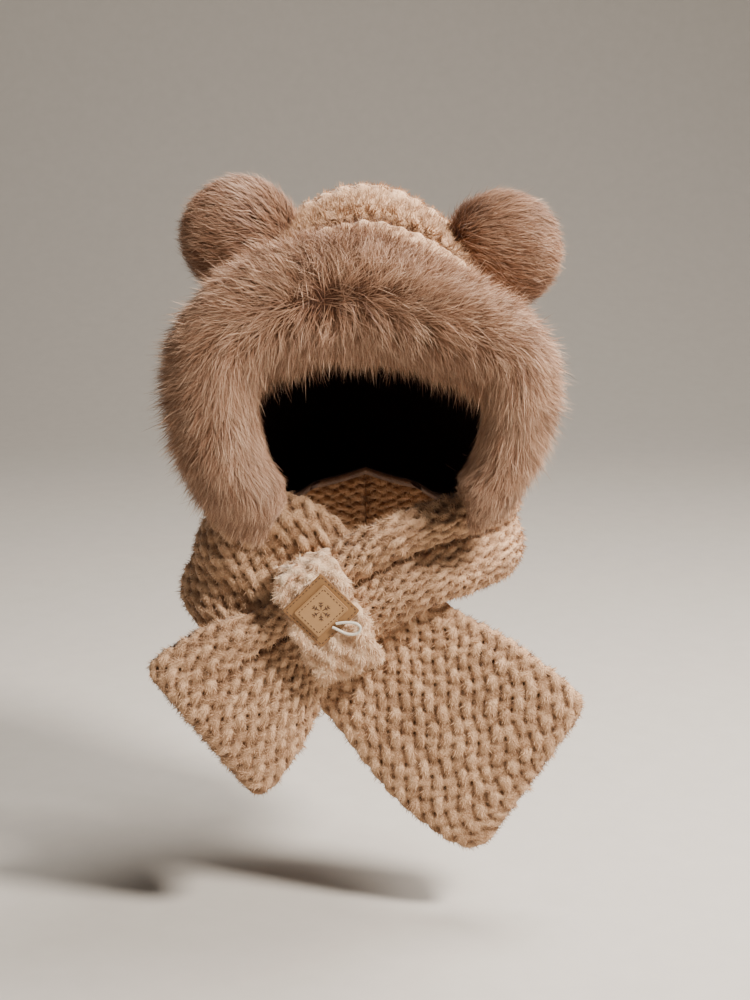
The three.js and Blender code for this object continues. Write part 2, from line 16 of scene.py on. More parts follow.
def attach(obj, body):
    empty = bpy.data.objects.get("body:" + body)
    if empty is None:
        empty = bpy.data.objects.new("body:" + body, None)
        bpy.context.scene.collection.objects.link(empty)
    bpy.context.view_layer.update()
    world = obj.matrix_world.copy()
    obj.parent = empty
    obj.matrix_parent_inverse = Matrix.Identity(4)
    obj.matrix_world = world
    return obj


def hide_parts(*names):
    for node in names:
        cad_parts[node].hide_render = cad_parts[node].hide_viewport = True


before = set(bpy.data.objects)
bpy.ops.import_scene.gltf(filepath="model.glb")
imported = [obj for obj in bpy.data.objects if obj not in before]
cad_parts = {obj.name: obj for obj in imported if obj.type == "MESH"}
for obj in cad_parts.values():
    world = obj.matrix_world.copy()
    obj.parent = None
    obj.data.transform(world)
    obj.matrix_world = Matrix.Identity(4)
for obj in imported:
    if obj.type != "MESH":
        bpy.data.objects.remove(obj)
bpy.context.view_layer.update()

# %% [markdown]
# ## Camera
# The photograph was taken from straight ahead and a little above, at about 1.6 m. The lens follows from
# the size of the hood in the frame. Everything else is judged through this camera, so it comes first.


# %% Camera
def added(name, data):
    """An object that holds the data, linked into the scene."""
    thing = bpy.data.objects.new(name, data)
    bpy.context.scene.collection.objects.link(thing)
    return thing


def aimed(name, data, place, target):
    """A camera or a light at a place, turned to its target."""
    thing = added(name, data)
    thing.location = place
    thing.rotation_euler = (Vector(target) - Vector(place)).to_track_quat("-Z", "Y").to_euler()
    return thing


aim = Vector((0.009, -0.06, -0.261))
rise = math.radians(14)
distance = 1.6
lens = bpy.data.cameras.new("camera")
lens.lens = 64
lens.sensor_width = 36
camera = aimed("camera", lens, aim + distance * Vector((0, -math.cos(rise), math.sin(rise))), aim)
bpy.context.scene.camera = camera
print("camera at", tuple(round(value, 3) for value in camera.location))

# %% [markdown]
# ## Lines and tables
# The sizes are the ones that the solids are built from, in metres. A curve through a few table rows is
# easier to correct than hundreds of points, so each soft form is a table and a smooth line through it.

# %% Sizes of the hood
head_width, head_back, face_reach = 0.224, 0.113, 0.098
crown_rise, nape_drop, ear_line = 0.121, 0.160, 0.010
lining_wall, hood_wall, clearance = 0.0016, 0.009, 0.0003
forehead_dip = 0.048
shell_inner = lining_wall + clearance
shell_outer = shell_inner + hood_wall
hood_middle = -crown_rise
collar_half = head_width / 2 + shell_outer
collar_back = head_back + shell_outer
hem_z = hood_middle - nape_drop + 0.031
chance = np.random.default_rng(7)
print("scarf collar is", round(2 * collar_half, 3), "m across")


# %% Smooth lines
def limited(value):
    return np.clip(value, 0, 1)


def rounded(away, radius):
    """A quarter circle from where something ends: 0 there, and 1 from the radius on."""
    return np.sqrt(limited(1 - limited(1 - away / radius) ** 2))


def smooth_line(points, shares):
    """Places on a smooth curve through the points, at shares of its rows."""
    points = np.asarray(points, float)
    rows = len(points) - 1
    place = limited(shares) * rows
    low = np.minimum(place.astype(int), rows - 1)
    step = (place - low)[..., None]
    ends = np.vstack([2 * points[0] - points[1], points, 2 * points[-1] - points[-2]])
    before, start, end, after = (ends[low + number] for number in range(4))
    leave, arrive = (end - before) / 2, (after - start) / 2
    return (start + leave * step + (3 * (end - start) - 2 * leave - arrive) * step ** 2
            + (2 * (start - end) + leave + arrive) * step ** 3)


def unit(vectors):
    return vectors / np.maximum(np.linalg.norm(vectors, axis=-1, keepdims=True), 1e-9)


print("a line through 0, 1 and 4 starts at", smooth_line([[0], [1], [4]], np.zeros(1))[0, 0])

# %% [markdown]
# ## Finishes as expressions
# Node trees are long to write link by link. Here a small class wraps a socket, so that a mask can be
# written as `1 - height * 0.5`, and a second one keeps a material and adds any other node.


# %% A socket that can be calculated with
class Value:
    def __init__(self, finish, socket):
        self.finish = finish
        self.socket = socket

    def math(self, operation, first, second=0.0, clamp=False):
        node = self.finish.node("ShaderNodeMath", {"operation": operation, "use_clamp": clamp},
                                {0: first, 1: second})
        return Value(self.finish, node.outputs[0])

    def __add__(self, other):
        return self.math("ADD", self, other)

    def __sub__(self, other):
        return self.math("SUBTRACT", self, other)

    def __rsub__(self, other):
        return self.math("SUBTRACT", other, self)

    def __mul__(self, other):
        return self.math("MULTIPLY", self, other)

    def __pow__(self, other):
        return self.math("POWER", self, other)

    def clamped(self):
        return self.math("ADD", self, 0.0, clamp=True)

    __radd__, __rmul__ = __add__, __mul__


print("a Value answers to", [name for name in vars(Value) if name.startswith("__r")])


# %% A material that is written as expressions
class Finish:
    def __init__(self, name, roughness, **fixed):
        self.material = bpy.data.materials.new(name)
        self.material.use_nodes = True
        self.tree = self.material.node_tree
        self.surface = self.tree.nodes["Principled BSDF"]
        self.surface.inputs["Roughness"].default_value = roughness
        for socket, value in fixed.items():
            self.surface.inputs[socket.replace("_", " ")].default_value = value

    def put(self, socket, value):
        if isinstance(value, Value):
            self.tree.links.new(value.socket, socket)
        else:
            socket.default_value = value

    def node(self, kind, settings=None, inputs=None):
        node = self.tree.nodes.new(kind)
        for name, value in (settings or {}).items():
            setattr(node, name, value)
        for name, value in (inputs or {}).items():
            self.put(node.inputs[name], value)
        return node

    def attribute(self, name):
        return Value(self, self.node("ShaderNodeAttribute", {"attribute_name": name}).outputs["Fac"])

    def coordinates(self, centre=(0, 0, 0), turn=(0, 0, 0), scale=(1, 1, 1)):
        place = self.node("ShaderNodeTexCoord").outputs["Object"]
        return Value(self, self.node("ShaderNodeMapping", {"vector_type": "TEXTURE"}, {
            "Vector": Value(self, place), "Location": centre, "Rotation": turn, "Scale": scale,
        }).outputs[0])

    def noise(self, vector, scale, detail=3.0):
        node = self.node("ShaderNodeTexNoise", None, {"Vector": vector, "Scale": scale, "Detail": detail})
        return Value(self, node.outputs["Fac"])

    def mix(self, mask, first, second):
        node = self.node("ShaderNodeMix", {"data_type": "RGBA", "clamp_factor": True})
        self.put(node.inputs[0], mask)
        self.put(node.inputs[6], first)
        self.put(node.inputs[7], second)
        return Value(self, node.outputs[2])

    def color(self, value):
        self.put(self.surface.inputs["Base Color"], value)

    def relief(self, height, strength, depth):
        node = self.node("ShaderNodeBump", None,
                         {"Strength": strength, "Distance": depth, "Height": height})
        self.put(self.surface.inputs["Normal"], Value(self, node.outputs[0]))


def paint(red, green, blue):
    """A colour read off a screen, 0 to 255, as the linear light that shaders work in."""
    return tuple(((part / 255 + 0.055) / 1.055) ** 2.4 if part > 10 else part / 255 / 12.92
                 for part in (red, green, blue)) + (1.0,)


print("a screen grey of 128 is", round(paint(128, 128, 128)[0], 3), "in linear light")

# %% [markdown]
# ## Cord loop
# A thin soft cord comes out beside the leather patch and goes back in under it. A curve with a round
# bevel is the natural tool: its own line is the centre of the cord, so its length is easily measured.

# %% Sizes of the keeper and the patch
scarf_width, scarf_thickness, roll_depth, crease_depth = 0.150, 0.014, 0.013, 0.009
layer_step = scarf_thickness + clearance
crossing_y = ear_line - 0.46 * collar_back
under_front = crossing_y - scarf_thickness
keeper_length, keeper_width, keeper_thickness = 0.104, 0.061, 0.012
keeper_rise = scarf_thickness + roll_depth * 0.8 + keeper_thickness / 2
patch_side, patch_thickness = 0.049, 0.0016
top_length, top_width, top_thickness = 0.038, 0.032, 0.0014
patch_back = under_front - keeper_rise * 1.04 - keeper_thickness / 2
patch_middle = Vector((-0.317 * collar_half, patch_back, hem_z - 0.685 * scarf_width))
base_front = patch_back - patch_thickness
top_front = base_front - clearance - top_thickness
cord_diameter = 0.0025
print("patch front at y =", round(base_front, 4))

# %% Cord loop
cord_route = [
    (0.269, 0, -0.233), (0.37, 0.006, -0.215), (0.5, 0.012, -0.208), (0.63, 0.02, -0.222),
    (0.712, 0.024, -0.296), (0.68, 0.024, -0.394), (0.575, 0.02, -0.434), (0.455, 0.012, -0.42),
    (0.335, 0.006, -0.366), (0.202, 0, -0.298),
]
cord_start = np.array([patch_middle.x, base_front - clearance - cord_diameter / 2, patch_middle.z])
cord_line = smooth_line([cord_start + np.array([x, -out, z]) * patch_side for x, out, z in cord_route],
                        np.linspace(0, 1, 37))
line = bpy.data.curves.new("cord_loop_soft", "CURVE")
line.dimensions = "3D"
line.bevel_depth = cord_diameter / 2
line.bevel_resolution = 3
line.use_fill_caps = True
spline = line.splines.new("POLY")
spline.points.add(len(cord_line) - 1)
for point, place in zip(spline.points, cord_line):
    point.co = (*place, 1)
cord_loop = added("cord_loop_soft", line)

braid = Finish("cord", 0.75)
weave = braid.noise(braid.coordinates(scale=(1, 1, 0.4)), 1800, 1)
braid.color(braid.mix(weave, paint(206, 192, 170), paint(246, 240, 228)))
braid.relief(weave, 0.5, 0.0004)
line.materials.append(braid.material)
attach(cord_loop, "root")
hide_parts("cord_loop")

# %% [markdown]
# ## Plush knit
# The hood and the scarf are knitted from a yarn as thick as a finger, and each stitch is a V of two
# plump petals. A bump map can't give the scalloped outline of such stitches. Modelling every loop
# of yarn would cost millions of faces. So the wall is a fine grid, and each of its vertices is moved
# out by the height of the stitch it lies in: real relief at about sixty faces a stitch.

# %% Height of a stitch
stitch_height = 0.0068
petal_length, petal_width = 0.78, 0.53


def stitches(wale, course):
    """Height, lean and tone of the petal at so many wales across and courses along the knit.

    The petals of a V lie at right angles to each other, so they fill a square lattice that is turned by an
    eighth. Each is longer than its square, and the higher of two petals hides the other.
    """
    wale, course = np.broadcast_arrays(wale, course)
    first, second = course + wale, course - wale
    best, lean, tone = np.zeros(wale.shape), np.ones(wale.shape), np.zeros(wale.shape)
    for step_first, step_second in ((0, 0), (1, 0), (-1, 0), (0, 1), (0, -1)):
        square = np.floor(first) + step_first, np.floor(second) + step_second
        offset = first - square[0] - 0.5, second - square[1] - 0.5
        leans = (square[0] - square[1]) % 2 == 0
        lengthwise, across = np.where(leans, offset[0], offset[1]), np.where(leans, offset[1], offset[0])
        mark = np.sin((square[0] * 57 + square[1] * 131) * 12.9898) * 43758.5453
        mark = mark - np.floor(mark)
        slope = np.abs(lengthwise / petal_length) ** 3, np.abs(across / petal_width) ** 2.6
        petal_ = limited(1 - slope[0] - slope[1]) ** 0.5
        petal_ = petal_ * (0.8 + 0.2 * mark) * (1 - 0.35 * lengthwise) * np.where(leans, 1.0, 0.84)
        wins = petal_ > best
        best, tone = np.where(wins, petal_, best), np.where(wins, mark, tone)
        lean = np.where(wins, np.where(leans, 1.0, -1.0), lean)
    return best, lean, tone


print("stitch relief is", stitch_height * 1000, "mm")


# %% A wall from a grid of places
def facing(places):
    """Outward normals of a closed wall, given as rows and columns of places."""
    down = np.gradient(places, axis=0)
    ring = places[:, :-1]
    across = (np.roll(ring, -1, axis=1) - np.roll(ring, 1, axis=1)) / 2
    across = np.concatenate([across, across[:, :1]], axis=1)
    normals = np.cross(down, across)
    return unit(normals if np.sum(places * normals) > 0 else -normals)


def closed_wall(name, places, values):
    """A grid whose vertices go to their places. Its seam and its two pressed ends are merged."""
    rows, columns = places.shape[:2]
    places[:, -1] = places[:, 0]
    for end in (0, -1):
        places[end] = (places[end] + places[end][::-1]) / 2
    form = bmesh.new()
    bmesh.ops.create_grid(form, x_segments=columns - 1, y_segments=rows - 1, size=1)
    across = {key: form.verts.layers.float.new(key) for key in values}
    for vertex in form.verts:
        spot = (round((vertex.co.y + 1) / 2 * (rows - 1)), round((vertex.co.x + 1) / 2 * (columns - 1)))
        for key, layer in across.items():
            vertex[layer] = values[key][spot]
        vertex.co = places[spot]
    bmesh.ops.remove_doubles(form, verts=form.verts, dist=2e-5)
    bmesh.ops.recalc_face_normals(form, faces=form.faces)
    return finished(name, form)


def finished(name, form):
    """A mesh object from a bmesh, smooth, at the origin."""
    mesh = bpy.data.meshes.new(name)
    form.to_mesh(mesh)
    form.free()
    mesh.shade_smooth()
    return added(name, mesh)


def ground(name, places, depth, every, dense_from=None):
    """The cloth that the stitches stand on: the same wall, a little smaller and far coarser."""
    rows, columns = places.shape[:2]
    down = np.unique(np.append(np.arange(0, rows, every), np.arange(dense_from or rows - 1, rows)))
    round_ = np.unique(np.append(np.arange(0, columns, every), columns - 1))
    inner = places - facing(places) * depth
    flat = np.zeros((len(down), len(round_)))
    return closed_wall(name, inner[np.ix_(down, round_)], {"height": flat, "tone": flat})


def cloth_area(piece):
    return sum(face.area for face in piece.data.polygons) / 2


def dress(piece, finish, slot, *nodes):
    """Finish and solids of a piece; its slot is not used. It rides on the one body there is."""
    piece.data.materials.append(finish.material)
    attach(piece, "root")
    if nodes:
        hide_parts(*nodes)
    return piece


print("walls are closed and dressed by", closed_wall.__name__, "and", dress.__name__)

# %% [markdown]
# ## Pile
# The knit, the plush and the fur carry hair, 7 to 40 mm long. Blender's hair system would be lost on
# export, so a hair is a narrow ribbon that tapers to a point, and one mesh holds thousands of them.
# They are placed with arrays, because operators would take minutes.


# %% Ribbons
def ribbons(name, paths, widths, normals, values):
    """Tapered ribbons in one mesh. The paths are strands x knots x 3, and the last knot is the tip."""
    count, knots = paths.shape[:2]
    along = unit(np.gradient(paths, axis=1)) if knots > 2 else unit(paths[:, 1:] - paths[:, :1])
    along = np.broadcast_to(along, paths.shape)
    side = unit(np.cross(along, normals[:, None]))[:, :-1]
    taper = (1 - np.linspace(0, 1, knots)[:-1] ** 1.5)[None, :, None] * widths[:, None, None] / 2
    pairs = np.stack([paths[:, :-1] - side * taper, paths[:, :-1] + side * taper], axis=2)
    places = np.concatenate([pairs.reshape(count, -1, 3), paths[:, -1:]], axis=1)
    size = places.shape[1]
    faces = [[2 * knot, 2 * knot + 1, 2 * knot + 3, 2 * knot + 2] for knot in range(knots - 2)]
    faces.append([size - 3, size - 2, size - 1])
    corners = np.array(sum(faces, []))
    starts = np.cumsum([0] + [len(face) for face in faces[:-1]])
    first = np.arange(count)[:, None]
    mesh = bpy.data.meshes.new(name)
    mesh.vertices.add(count * size)
    mesh.vertices.foreach_set("co", places.ravel())
    mesh.loops.add(count * len(corners))
    mesh.loops.foreach_set("vertex_index", (first * size + corners).ravel())
    mesh.polygons.add(count * len(faces))
    mesh.polygons.foreach_set("loop_start", (first * len(corners) + starts).ravel())
    mesh.update(calc_edges=True)
    mesh.shade_smooth()
    share = np.append(np.repeat(np.linspace(0, 1, knots)[:-1], 2), 1.0)
    for key, value in {"tip": np.broadcast_to(share, (count, size)), **values}.items():
        layer = mesh.attributes.new(key, "FLOAT", "POINT")
        data = np.broadcast_to(value if value.ndim == 2 else value[:, None], (count, size))
        layer.data.foreach_set("value", np.ascontiguousarray(data, dtype=np.float32).ravel())
    return added(name, mesh)


print("a hair of 3 knots has", 2 * 3 - 1, "vertices")

# %% Short pile on a wall
knit_pile = {"length": 0.0068, "width": 0.0008, "raised": 0.95}


def short_pile(name, places, normals, flow, values, count, length, width, raised=0.5, bare=None):
    """Single-pointed hairs spread over a wall's grid, laid along the flow."""
    rows, columns = places.shape[:2]
    area = np.linalg.norm(np.cross(np.gradient(places, axis=0), np.gradient(places, axis=1)), axis=-1)
    weight = np.cumsum(area.ravel())
    spot = np.searchsorted(weight, chance.random(count) * weight[-1])
    row, column_ = np.divmod(np.minimum(spot, rows * columns - 1), columns)
    row, column_ = np.clip(row, 1, rows - 2), np.clip(column_, 0, columns - 2)
    share = chance.random((2, count, 1))

    def at(grid):
        grid = grid if grid.ndim == 3 else grid[..., None]
        top, low = (grid[line_, column_] * (1 - share[0]) + grid[line_, column_ + 1] * share[0]
                    for line_ in (row, row + 1))
        return top * (1 - share[1]) + low * share[1]

    root, normal = at(places), unit(at(normals))
    tuft = np.sin(root[:, [1, 2, 0]] * 520 + np.sin(root[:, [2, 0, 1]] * 310) * 2)
    lean = unit(at(flow) + tuft * 0.7 + chance.normal(0, 0.3, (count, 3)))
    reach = length * (0.5 + 0.7 * chance.random((count, 1))) * (0.35 + 0.65 * limited(at(values["height"])))
    tip = root + reach * unit(normal * raised + lean)
    paths = np.stack([root - normal * length * 0.12, tip], axis=1)
    across = unit(normal + chance.normal(0, 0.3, (count, 3)))
    widths = width * (0.7 + 0.6 * chance.random(count))
    kept = np.ones(count, bool) if bare is None else ~(bare(root) | bare(tip))
    # the hairs carry the wall's heights, so hairs rooted in the gaps take the painted shade too
    carried = {key: at(value)[kept, 0] for key, value in values.items()}
    return ribbons(name, paths[kept], widths[kept], across[kept], carried)


print("the knit's pile is", knit_pile["length"] * 1000, "mm long")

# %% [markdown]
# ## Finish of the plush knit
# The yarn is a warm beige chenille. Between the stitches, where light can't get, it is painted deep brown:
# painted shade. Each petal has its own tone, and is painted paler where it stands higher: a painted
# highlight.


# %% Plush knit and short pile
def plush(name, deep, middle, light, gap):
    """A finish of three tones. Low places between the stitches turn deep as painted shade, and high places
    are painted paler as a painted highlight. The larger the gap, the lower a place may lie before it turns
    deep.
    """
    finish = Finish(name, 0.9, Sheen_Weight=0.25, Sheen_Roughness=0.5, Specular_IOR_Level=0.2)
    height = finish.attribute("height")
    tone = finish.attribute("tone")
    cloud = finish.noise(finish.coordinates(), 26, 2)
    grain = finish.noise(finish.coordinates(), 650, 2)
    # painted highlight: the higher a place stands, the paler it is drawn; tone and noise add its own
    # variation
    shade = (height * 0.8 - 0.1 + tone * 0.25 + (cloud - 0.5) * 0.5 + (grain - 0.5) * 0.9).clamped()
    yarn = finish.mix(shade, middle, light)
    # painted shade: low places, between the stitches, are drawn deep brown
    finish.color(finish.mix((1 - height * gap).clamped() ** 0.9, yarn, deep))
    finish.relief(grain, 0.8, 0.0014)
    return finish


# the first colour is the painted shade between the stitches
knit = plush("knit", paint(70, 40, 24), paint(146, 104, 70), paint(218, 178, 140), gap=1.35)
print("knit finish ready")

# %% [markdown]
# ## Hood
# The hood is a bowl that lies on its back, and its rim runs round the face and the neck. The same
# function gives its outside, its inside and the lining. The knit grows from the back of the head
# as a cap does: the courses are rings, and fewer wales reach the middle of the back.


# %% Places on the hood
def hood_reach(turn, share):
    """How far the wall has come: 0 is the middle of the back, 1 the widest ring and 2 the face."""
    return share * np.interp(np.degrees(np.abs(turn)), [0, 140, 146, 152, 162, 180],
                             [2, 2, 1.4, 1.05, 0.76, 0.66])


def hood_place(turn, share, level, lift=0.0):
    reach = hood_reach(turn, share)
    across, up = np.sin(turn), np.cos(turn)
    square = np.where(up > 0, 1.8, 1.8 + 2.2 * np.minimum(1, -up * 2))
    height = np.where(up > 0, crown_rise, nape_drop) + level + lift * np.maximum(0, up) ** 3
    radius = (np.abs(across / (head_width / 2 + level)) ** square
              + np.abs(up / height) ** square) ** (-1 / square)
    swing = np.minimum(reach, 1) * math.pi / 2
    forward = np.maximum(reach - 1, 0)
    narrow = np.sin(swing) * (1 - 0.04 * forward ** 2)
    dip = forehead_dip * forward ** 1.7 * np.maximum(0, up) ** 1.5
    return np.stack([radius * across * narrow,
                     ear_line + (head_back + level) * np.cos(swing) - face_reach * forward,
                     hood_middle + radius * up * narrow - dip], axis=-1)


crown_rolls = [(0, 0), (0.32, 0), (0.41, 0.2), (0.47, 0.8), (0.55, 0.7), (0.61, -0.8), (0.66, 0.7),
               (0.74, 0.9), (0.785, -2.0), (0.83, 0.5), (0.93, 0.3), (1, 0)]


def crown_lift(share):
    return 0.003 * np.interp(share, *zip(*crown_rolls))


print("the brow is at", hood_place(np.array(0.0), np.array(1.0), 0.0).round(3))

# %% Hood in plush knit
hood_columns = 312
turns = np.linspace(-math.pi, math.pi, hood_columns + 1)
outer_shares = np.linspace(0.0, 1.0, 132)
inner_shares = np.linspace(1.0, 0.0, 14)
turn, share = np.meshgrid(turns, outer_shares)
outside = hood_place(turn, share, shell_outer, crown_lift(share))
turn_in, share_in = np.meshgrid(turns, inner_shares)
inside = hood_place(turn_in, share_in, shell_inner)
hood_walls = np.concatenate([outside, inside])
hood_normals = facing(hood_walls)
reach = hood_reach(turn, share)
courses = np.interp(reach, [0, 1, 2], [0, 11, 17.5])
wales = np.select([courses > 9, courses > 6, courses > 3], [48, 40, 26], 13)
petal, lean, tone = stitches(turn / (2 * math.pi) * wales + 0.08 * np.sin(courses * 4), courses)
edge = limited((1 - share) / 0.04) * limited(share / 0.04)
over_crown = limited((1.3 - np.abs(turn)) / 0.3)
combed = limited((share - 0.6) / 0.03) * limited((0.785 - share) / 0.02) * over_crown
petal = petal * (1 - combed * 0.75) + combed * 0.5
crease = np.exp(-((share - 0.787) / 0.013) ** 2) * over_crown
# painted shade: the crease sinks, and with the rim's last rows its low height draws it deep brown
petal = petal * (1 - crease) * np.where(share > 0.985, 0.3, 1)
# painted shade: the inside wall's low height draws it deep brown
height = np.concatenate([petal, np.full(inside.shape[:2], 0.1)])
tones = np.concatenate([tone, np.full(inside.shape[:2], 0.4)])
push = np.concatenate([(petal - 0.55) * edge, np.zeros(inside.shape[:2])])
hood_ground = ground("hood_ground", hood_walls, depth=0.0035, every=6, dense_from=len(outer_shares) - 1)
dress(hood_ground, knit, "knit", "hood_shell")
hood_walls = hood_walls + hood_normals * (push * stitch_height)[..., None]
hood_knit = closed_wall("hood_knit", hood_walls, {"height": height, "tone": tones})
dress(hood_knit, knit, "knit")
print("hood cloth", round(cloth_area(hood_ground), 3), "m2")
print("hood", len(hood_knit.data.polygons), "faces")

# %% Pile of the hood
rows = len(outer_shares)
down = unit(np.gradient(hood_walls[:rows], axis=0))
round_ = unit(np.gradient(hood_walls[:rows], axis=1))
hood_pile = short_pile("hood_pile", hood_walls[:rows], facing(hood_walls)[:rows],
                       down * (1 - 2 * combed[..., None]) + round_ * lean[..., None],
                       {"height": petal, "tone": tone}, count=32000, **knit_pile)
dress(hood_pile, knit, "knit")
band = np.flatnonzero((outer_shares > 0.6) & (outer_shares < 0.79))
middle = np.flatnonzero(np.abs(turns) < 1.2)
crown_part = np.ix_(band, middle)
crown_pile = short_pile("crown_pile", hood_walls[crown_part], facing(hood_walls)[crown_part],
                        -down[crown_part], {"height": petal[crown_part], "tone": tone[crown_part]},
                        count=9000, length=0.013, width=0.0009)
dress(crown_pile, knit, "knit")
print("hood pile", len(hood_pile.data.polygons) + len(crown_pile.data.polygons), "hairs")

# %% [markdown]
# ## Lining
# Only its dark inside shows, deep in the face opening. It is a thin cloth, so it takes the hood's form
# at two levels, with a fine brushed grain.

# %% Lining
lining_shares = np.linspace(0, 1, 40)
turn_l, share_l = np.meshgrid(np.linspace(-math.pi, math.pi, 97), lining_shares)
lining_walls = np.concatenate([hood_place(turn_l, share_l, lining_wall),
                               hood_place(turn_l, share_l, 0.0)[::-1]])
hood_lining = closed_wall("hood_lining_cloth", lining_walls, {})
brushed = Finish("lining", 0.95, Specular_IOR_Level=0.1)
nap = brushed.noise(brushed.coordinates(), 900, 2)
brushed.color(brushed.mix(nap, paint(14, 8, 8), paint(40, 26, 26)))
brushed.relief(nap, 0.4, 0.0008)
dress(hood_lining, brushed, "lining", "hood_lining")
print("lining", len(hood_lining.data.polygons), "faces")

# %% [markdown]
# ## Scarf halves
# Each half is a long knitted slab. Two smooth lines carry its edges from the middle of the back,
# round the neck and across the chest to the tail. Its section is a flat rounded bar, and where the
# upper half is folded lengthwise, the section swells into two rolls.

# %% Tables of the scarf
under_collar = [
    (0, 0.67, 0, 0, 0.73, 0.63, 0, 0), (-0.34, 0.63, 0, -0.4, 0.69, 0.65, 0, 0),
    (-0.63, 0.49, 0, -0.76, 0.55, 0.67, 0, 0), (-0.96, -0.02, 0.03, -1.3, 0.02, 0.79, 0, 0),
    (-0.91, -0.28, 0.08, -1.24, -0.29, 0.92, 0, 0), (-0.62, -0.4, 0.05, -0.96, -0.41, 1.13, 0, 0),
    (-0.33, -0.45, 0.12, -0.7, -0.44, 1.28, 0, 0), (0, -0.46, 0.36, -0.5, -0.46, 1.37, 0, 0),
]
upper_collar = [
    (0, 0.67, 0, 0, 0.73, 0.6, 0, 0), (0.34, 0.63, 0, 0.38, 0.68, 0.6, 0, 0),
    (0.63, 0.49, 0, 0.72, 0.53, 0.61, 0, 0), (0.96, -0.02, 0.01, 1.02, 0.02, 0.61, 0, 0.4),
    (0.91, -0.25, 0.03, 0.96, -0.27, 0.63, 0, 0.9), (0.66, -0.37, 0.06, 0.76, -0.38, 0.67, 0.5, 1),
    (0.25, -0.46, 0.14, 0.5, -0.46, 0.72, 1, 1), (-0.13, -0.46, 0.29, 0.2, -0.46, 0.86, 1, 0.9),
    (-0.41, -0.46, 0.5, -0.12, -0.46, 0.99, 1, 0.7),
]
under_tail = {"root": (0.11, 1.05), "angle": -39, "length": 0.180, "width": 0.184, "layer": 0, "rows": [
    (0.06, 0.4, -0.06, -0.41, 0), (0.45, 0.47, 0.5, -0.53, 0.45),
    (0.76, 0.49, 0.84, -0.54, 0.8), (0.95, 0.49, 1.05, -0.49, 1),
]}
upper_tail = {"root": (-0.5, 0.97), "angle": 222, "length": 0.115, "width": 0.170, "layer": 1, "rows": [
    (-0.05, 0.27, 0.05, -0.28, 0), (0.4, 0.41, 0.5, -0.41, 0.4),
    (0.76, 0.47, 0.84, -0.47, 0.8), (0.96, 0.5, 1.05, -0.5, 1),
]}
tail_lean = 0.022
print("rows of the halves:", len(under_collar), "and", len(upper_collar), "round the neck, then the tails")


# %% Edges of a half
def scarf_edges(collar, tail, side):
    """The points of the upper and the lower edge, from the middle of the back to the tail's end."""
    upper, lower = [], []
    for number, row in enumerate(collar):
        gap = side * clearance / 2 if number == 0 else 0
        for edge_points, (x, y, z) in ((upper, row[:3]), (lower, row[3:6])):
            edge_points.append((x * collar_half + gap, ear_line + y * collar_back - row[6] * layer_step,
                                hem_z - z * scarf_width))
    angle = math.radians(tail["angle"])
    along = np.array([math.cos(angle), 0, math.sin(angle)])
    across = np.array([-along[2], 0, along[0]])
    across = across if across[2] > 0 else -across
    for up_along, up, low_along, low, lean_share in tail["rows"]:
        root = np.array([tail["root"][0] * collar_half,
                         crossing_y - tail["layer"] * layer_step - lean_share * tail_lean,
                         hem_z - tail["root"][1] * scarf_width])
        upper.append(root + along * up_along * tail["length"] + across * up * tail["width"])
        lower.append(root + along * low_along * tail["length"] + across * low * tail["width"])
    return np.array(upper), np.array(lower)


under_edges = scarf_edges(under_collar, under_tail, -1)
upper_edges = scarf_edges(upper_collar, upper_tail, 1)
print("the under half ends at", under_edges[0][-1].round(3), "and", under_edges[1][-1].round(3))

# %% Thickness over a half
fold_place, pleat_place = -0.15, -0.33


def under_thickness(place, share):
    gather = np.sin(math.pi * np.minimum(1, share * 1.1)) ** 2
    return scarf_thickness + 0.002 * gather * np.cos(place * 9)


def upper_row(share):
    """Rows past the collar's last one, and how far the collar is rolled, at shares of the upper half."""
    row = share * (len(upper_collar) - 1 + len(upper_tail["rows"]))
    rolled = np.interp(row, range(len(upper_collar)), [row_[7] for row_ in upper_collar])
    return row - (len(upper_collar) - 1), rolled


def upper_thickness(place, share):
    past, rolled = upper_row(share)
    rolled = np.where(past < 0, rolled, np.maximum(0, 0.7 - 0.2 * past))
    lobe = np.where(place < fold_place, np.sin(math.pi * (place + 1) / (fold_place + 1)),
                    np.sin(math.pi * (place - fold_place) / (1 - fold_place)))
    tail_share = np.maximum(0, past) / len(upper_tail["rows"])
    near = limited(past + 1) * limited(1 - tail_share * 1.15)
    crease = near * np.exp(-(((place - pleat_place) / 0.1) ** 2))
    rolls = near * np.exp(-(((np.abs(place - pleat_place) - 0.32) / 0.22) ** 2))
    return scarf_thickness + roll_depth * rolled * lobe - crease_depth * crease + 0.004 * rolls


def upper_shade(place, share):
    """Painted shade on the front of the upper half: how far it is taken as hidden from light, in its folds
    and nowhere else.
    """
    past, rolled = upper_row(share)
    tail_share = past / len(upper_tail["rows"])
    pleat = np.exp(-(((place - pleat_place) / 0.05) ** 2)) * limited(1 - tail_share * 1.4)
    pleat = pleat * limited(past + 1)
    fold = np.exp(-(((place - fold_place) / 0.06) ** 2)) * rolled
    return limited(pleat + 0.25 * fold * (past < 0))


print("fold of the upper half:", round(float(upper_thickness(0.4, 0.5)), 4), "m thick beside it")


# %% Section and wall of a half
scarf_rows, scarf_columns, scarf_wales, scarf_pitch = 300, 160, 11, 0.0165


def bar_section(count):
    """Places across (-1 to 1) and heights (-1 to 1) round a flat rounded bar, evenly spaced."""
    angle = np.linspace(math.pi, -math.pi, 4001)
    across = np.sign(np.cos(angle)) * np.abs(np.cos(angle)) ** (2 / 4.5)
    height_ = np.sign(np.sin(angle)) * np.abs(np.sin(angle)) ** (2 / 2.4)
    run = np.cumsum(np.hypot(np.diff(across, prepend=across[0]) * 0.08,
                             np.diff(height_, prepend=height_[0]) * 0.007))
    spots = np.linspace(0, run[-1], count + 1)
    return np.interp(spots, run, across), np.interp(spots, run, height_)


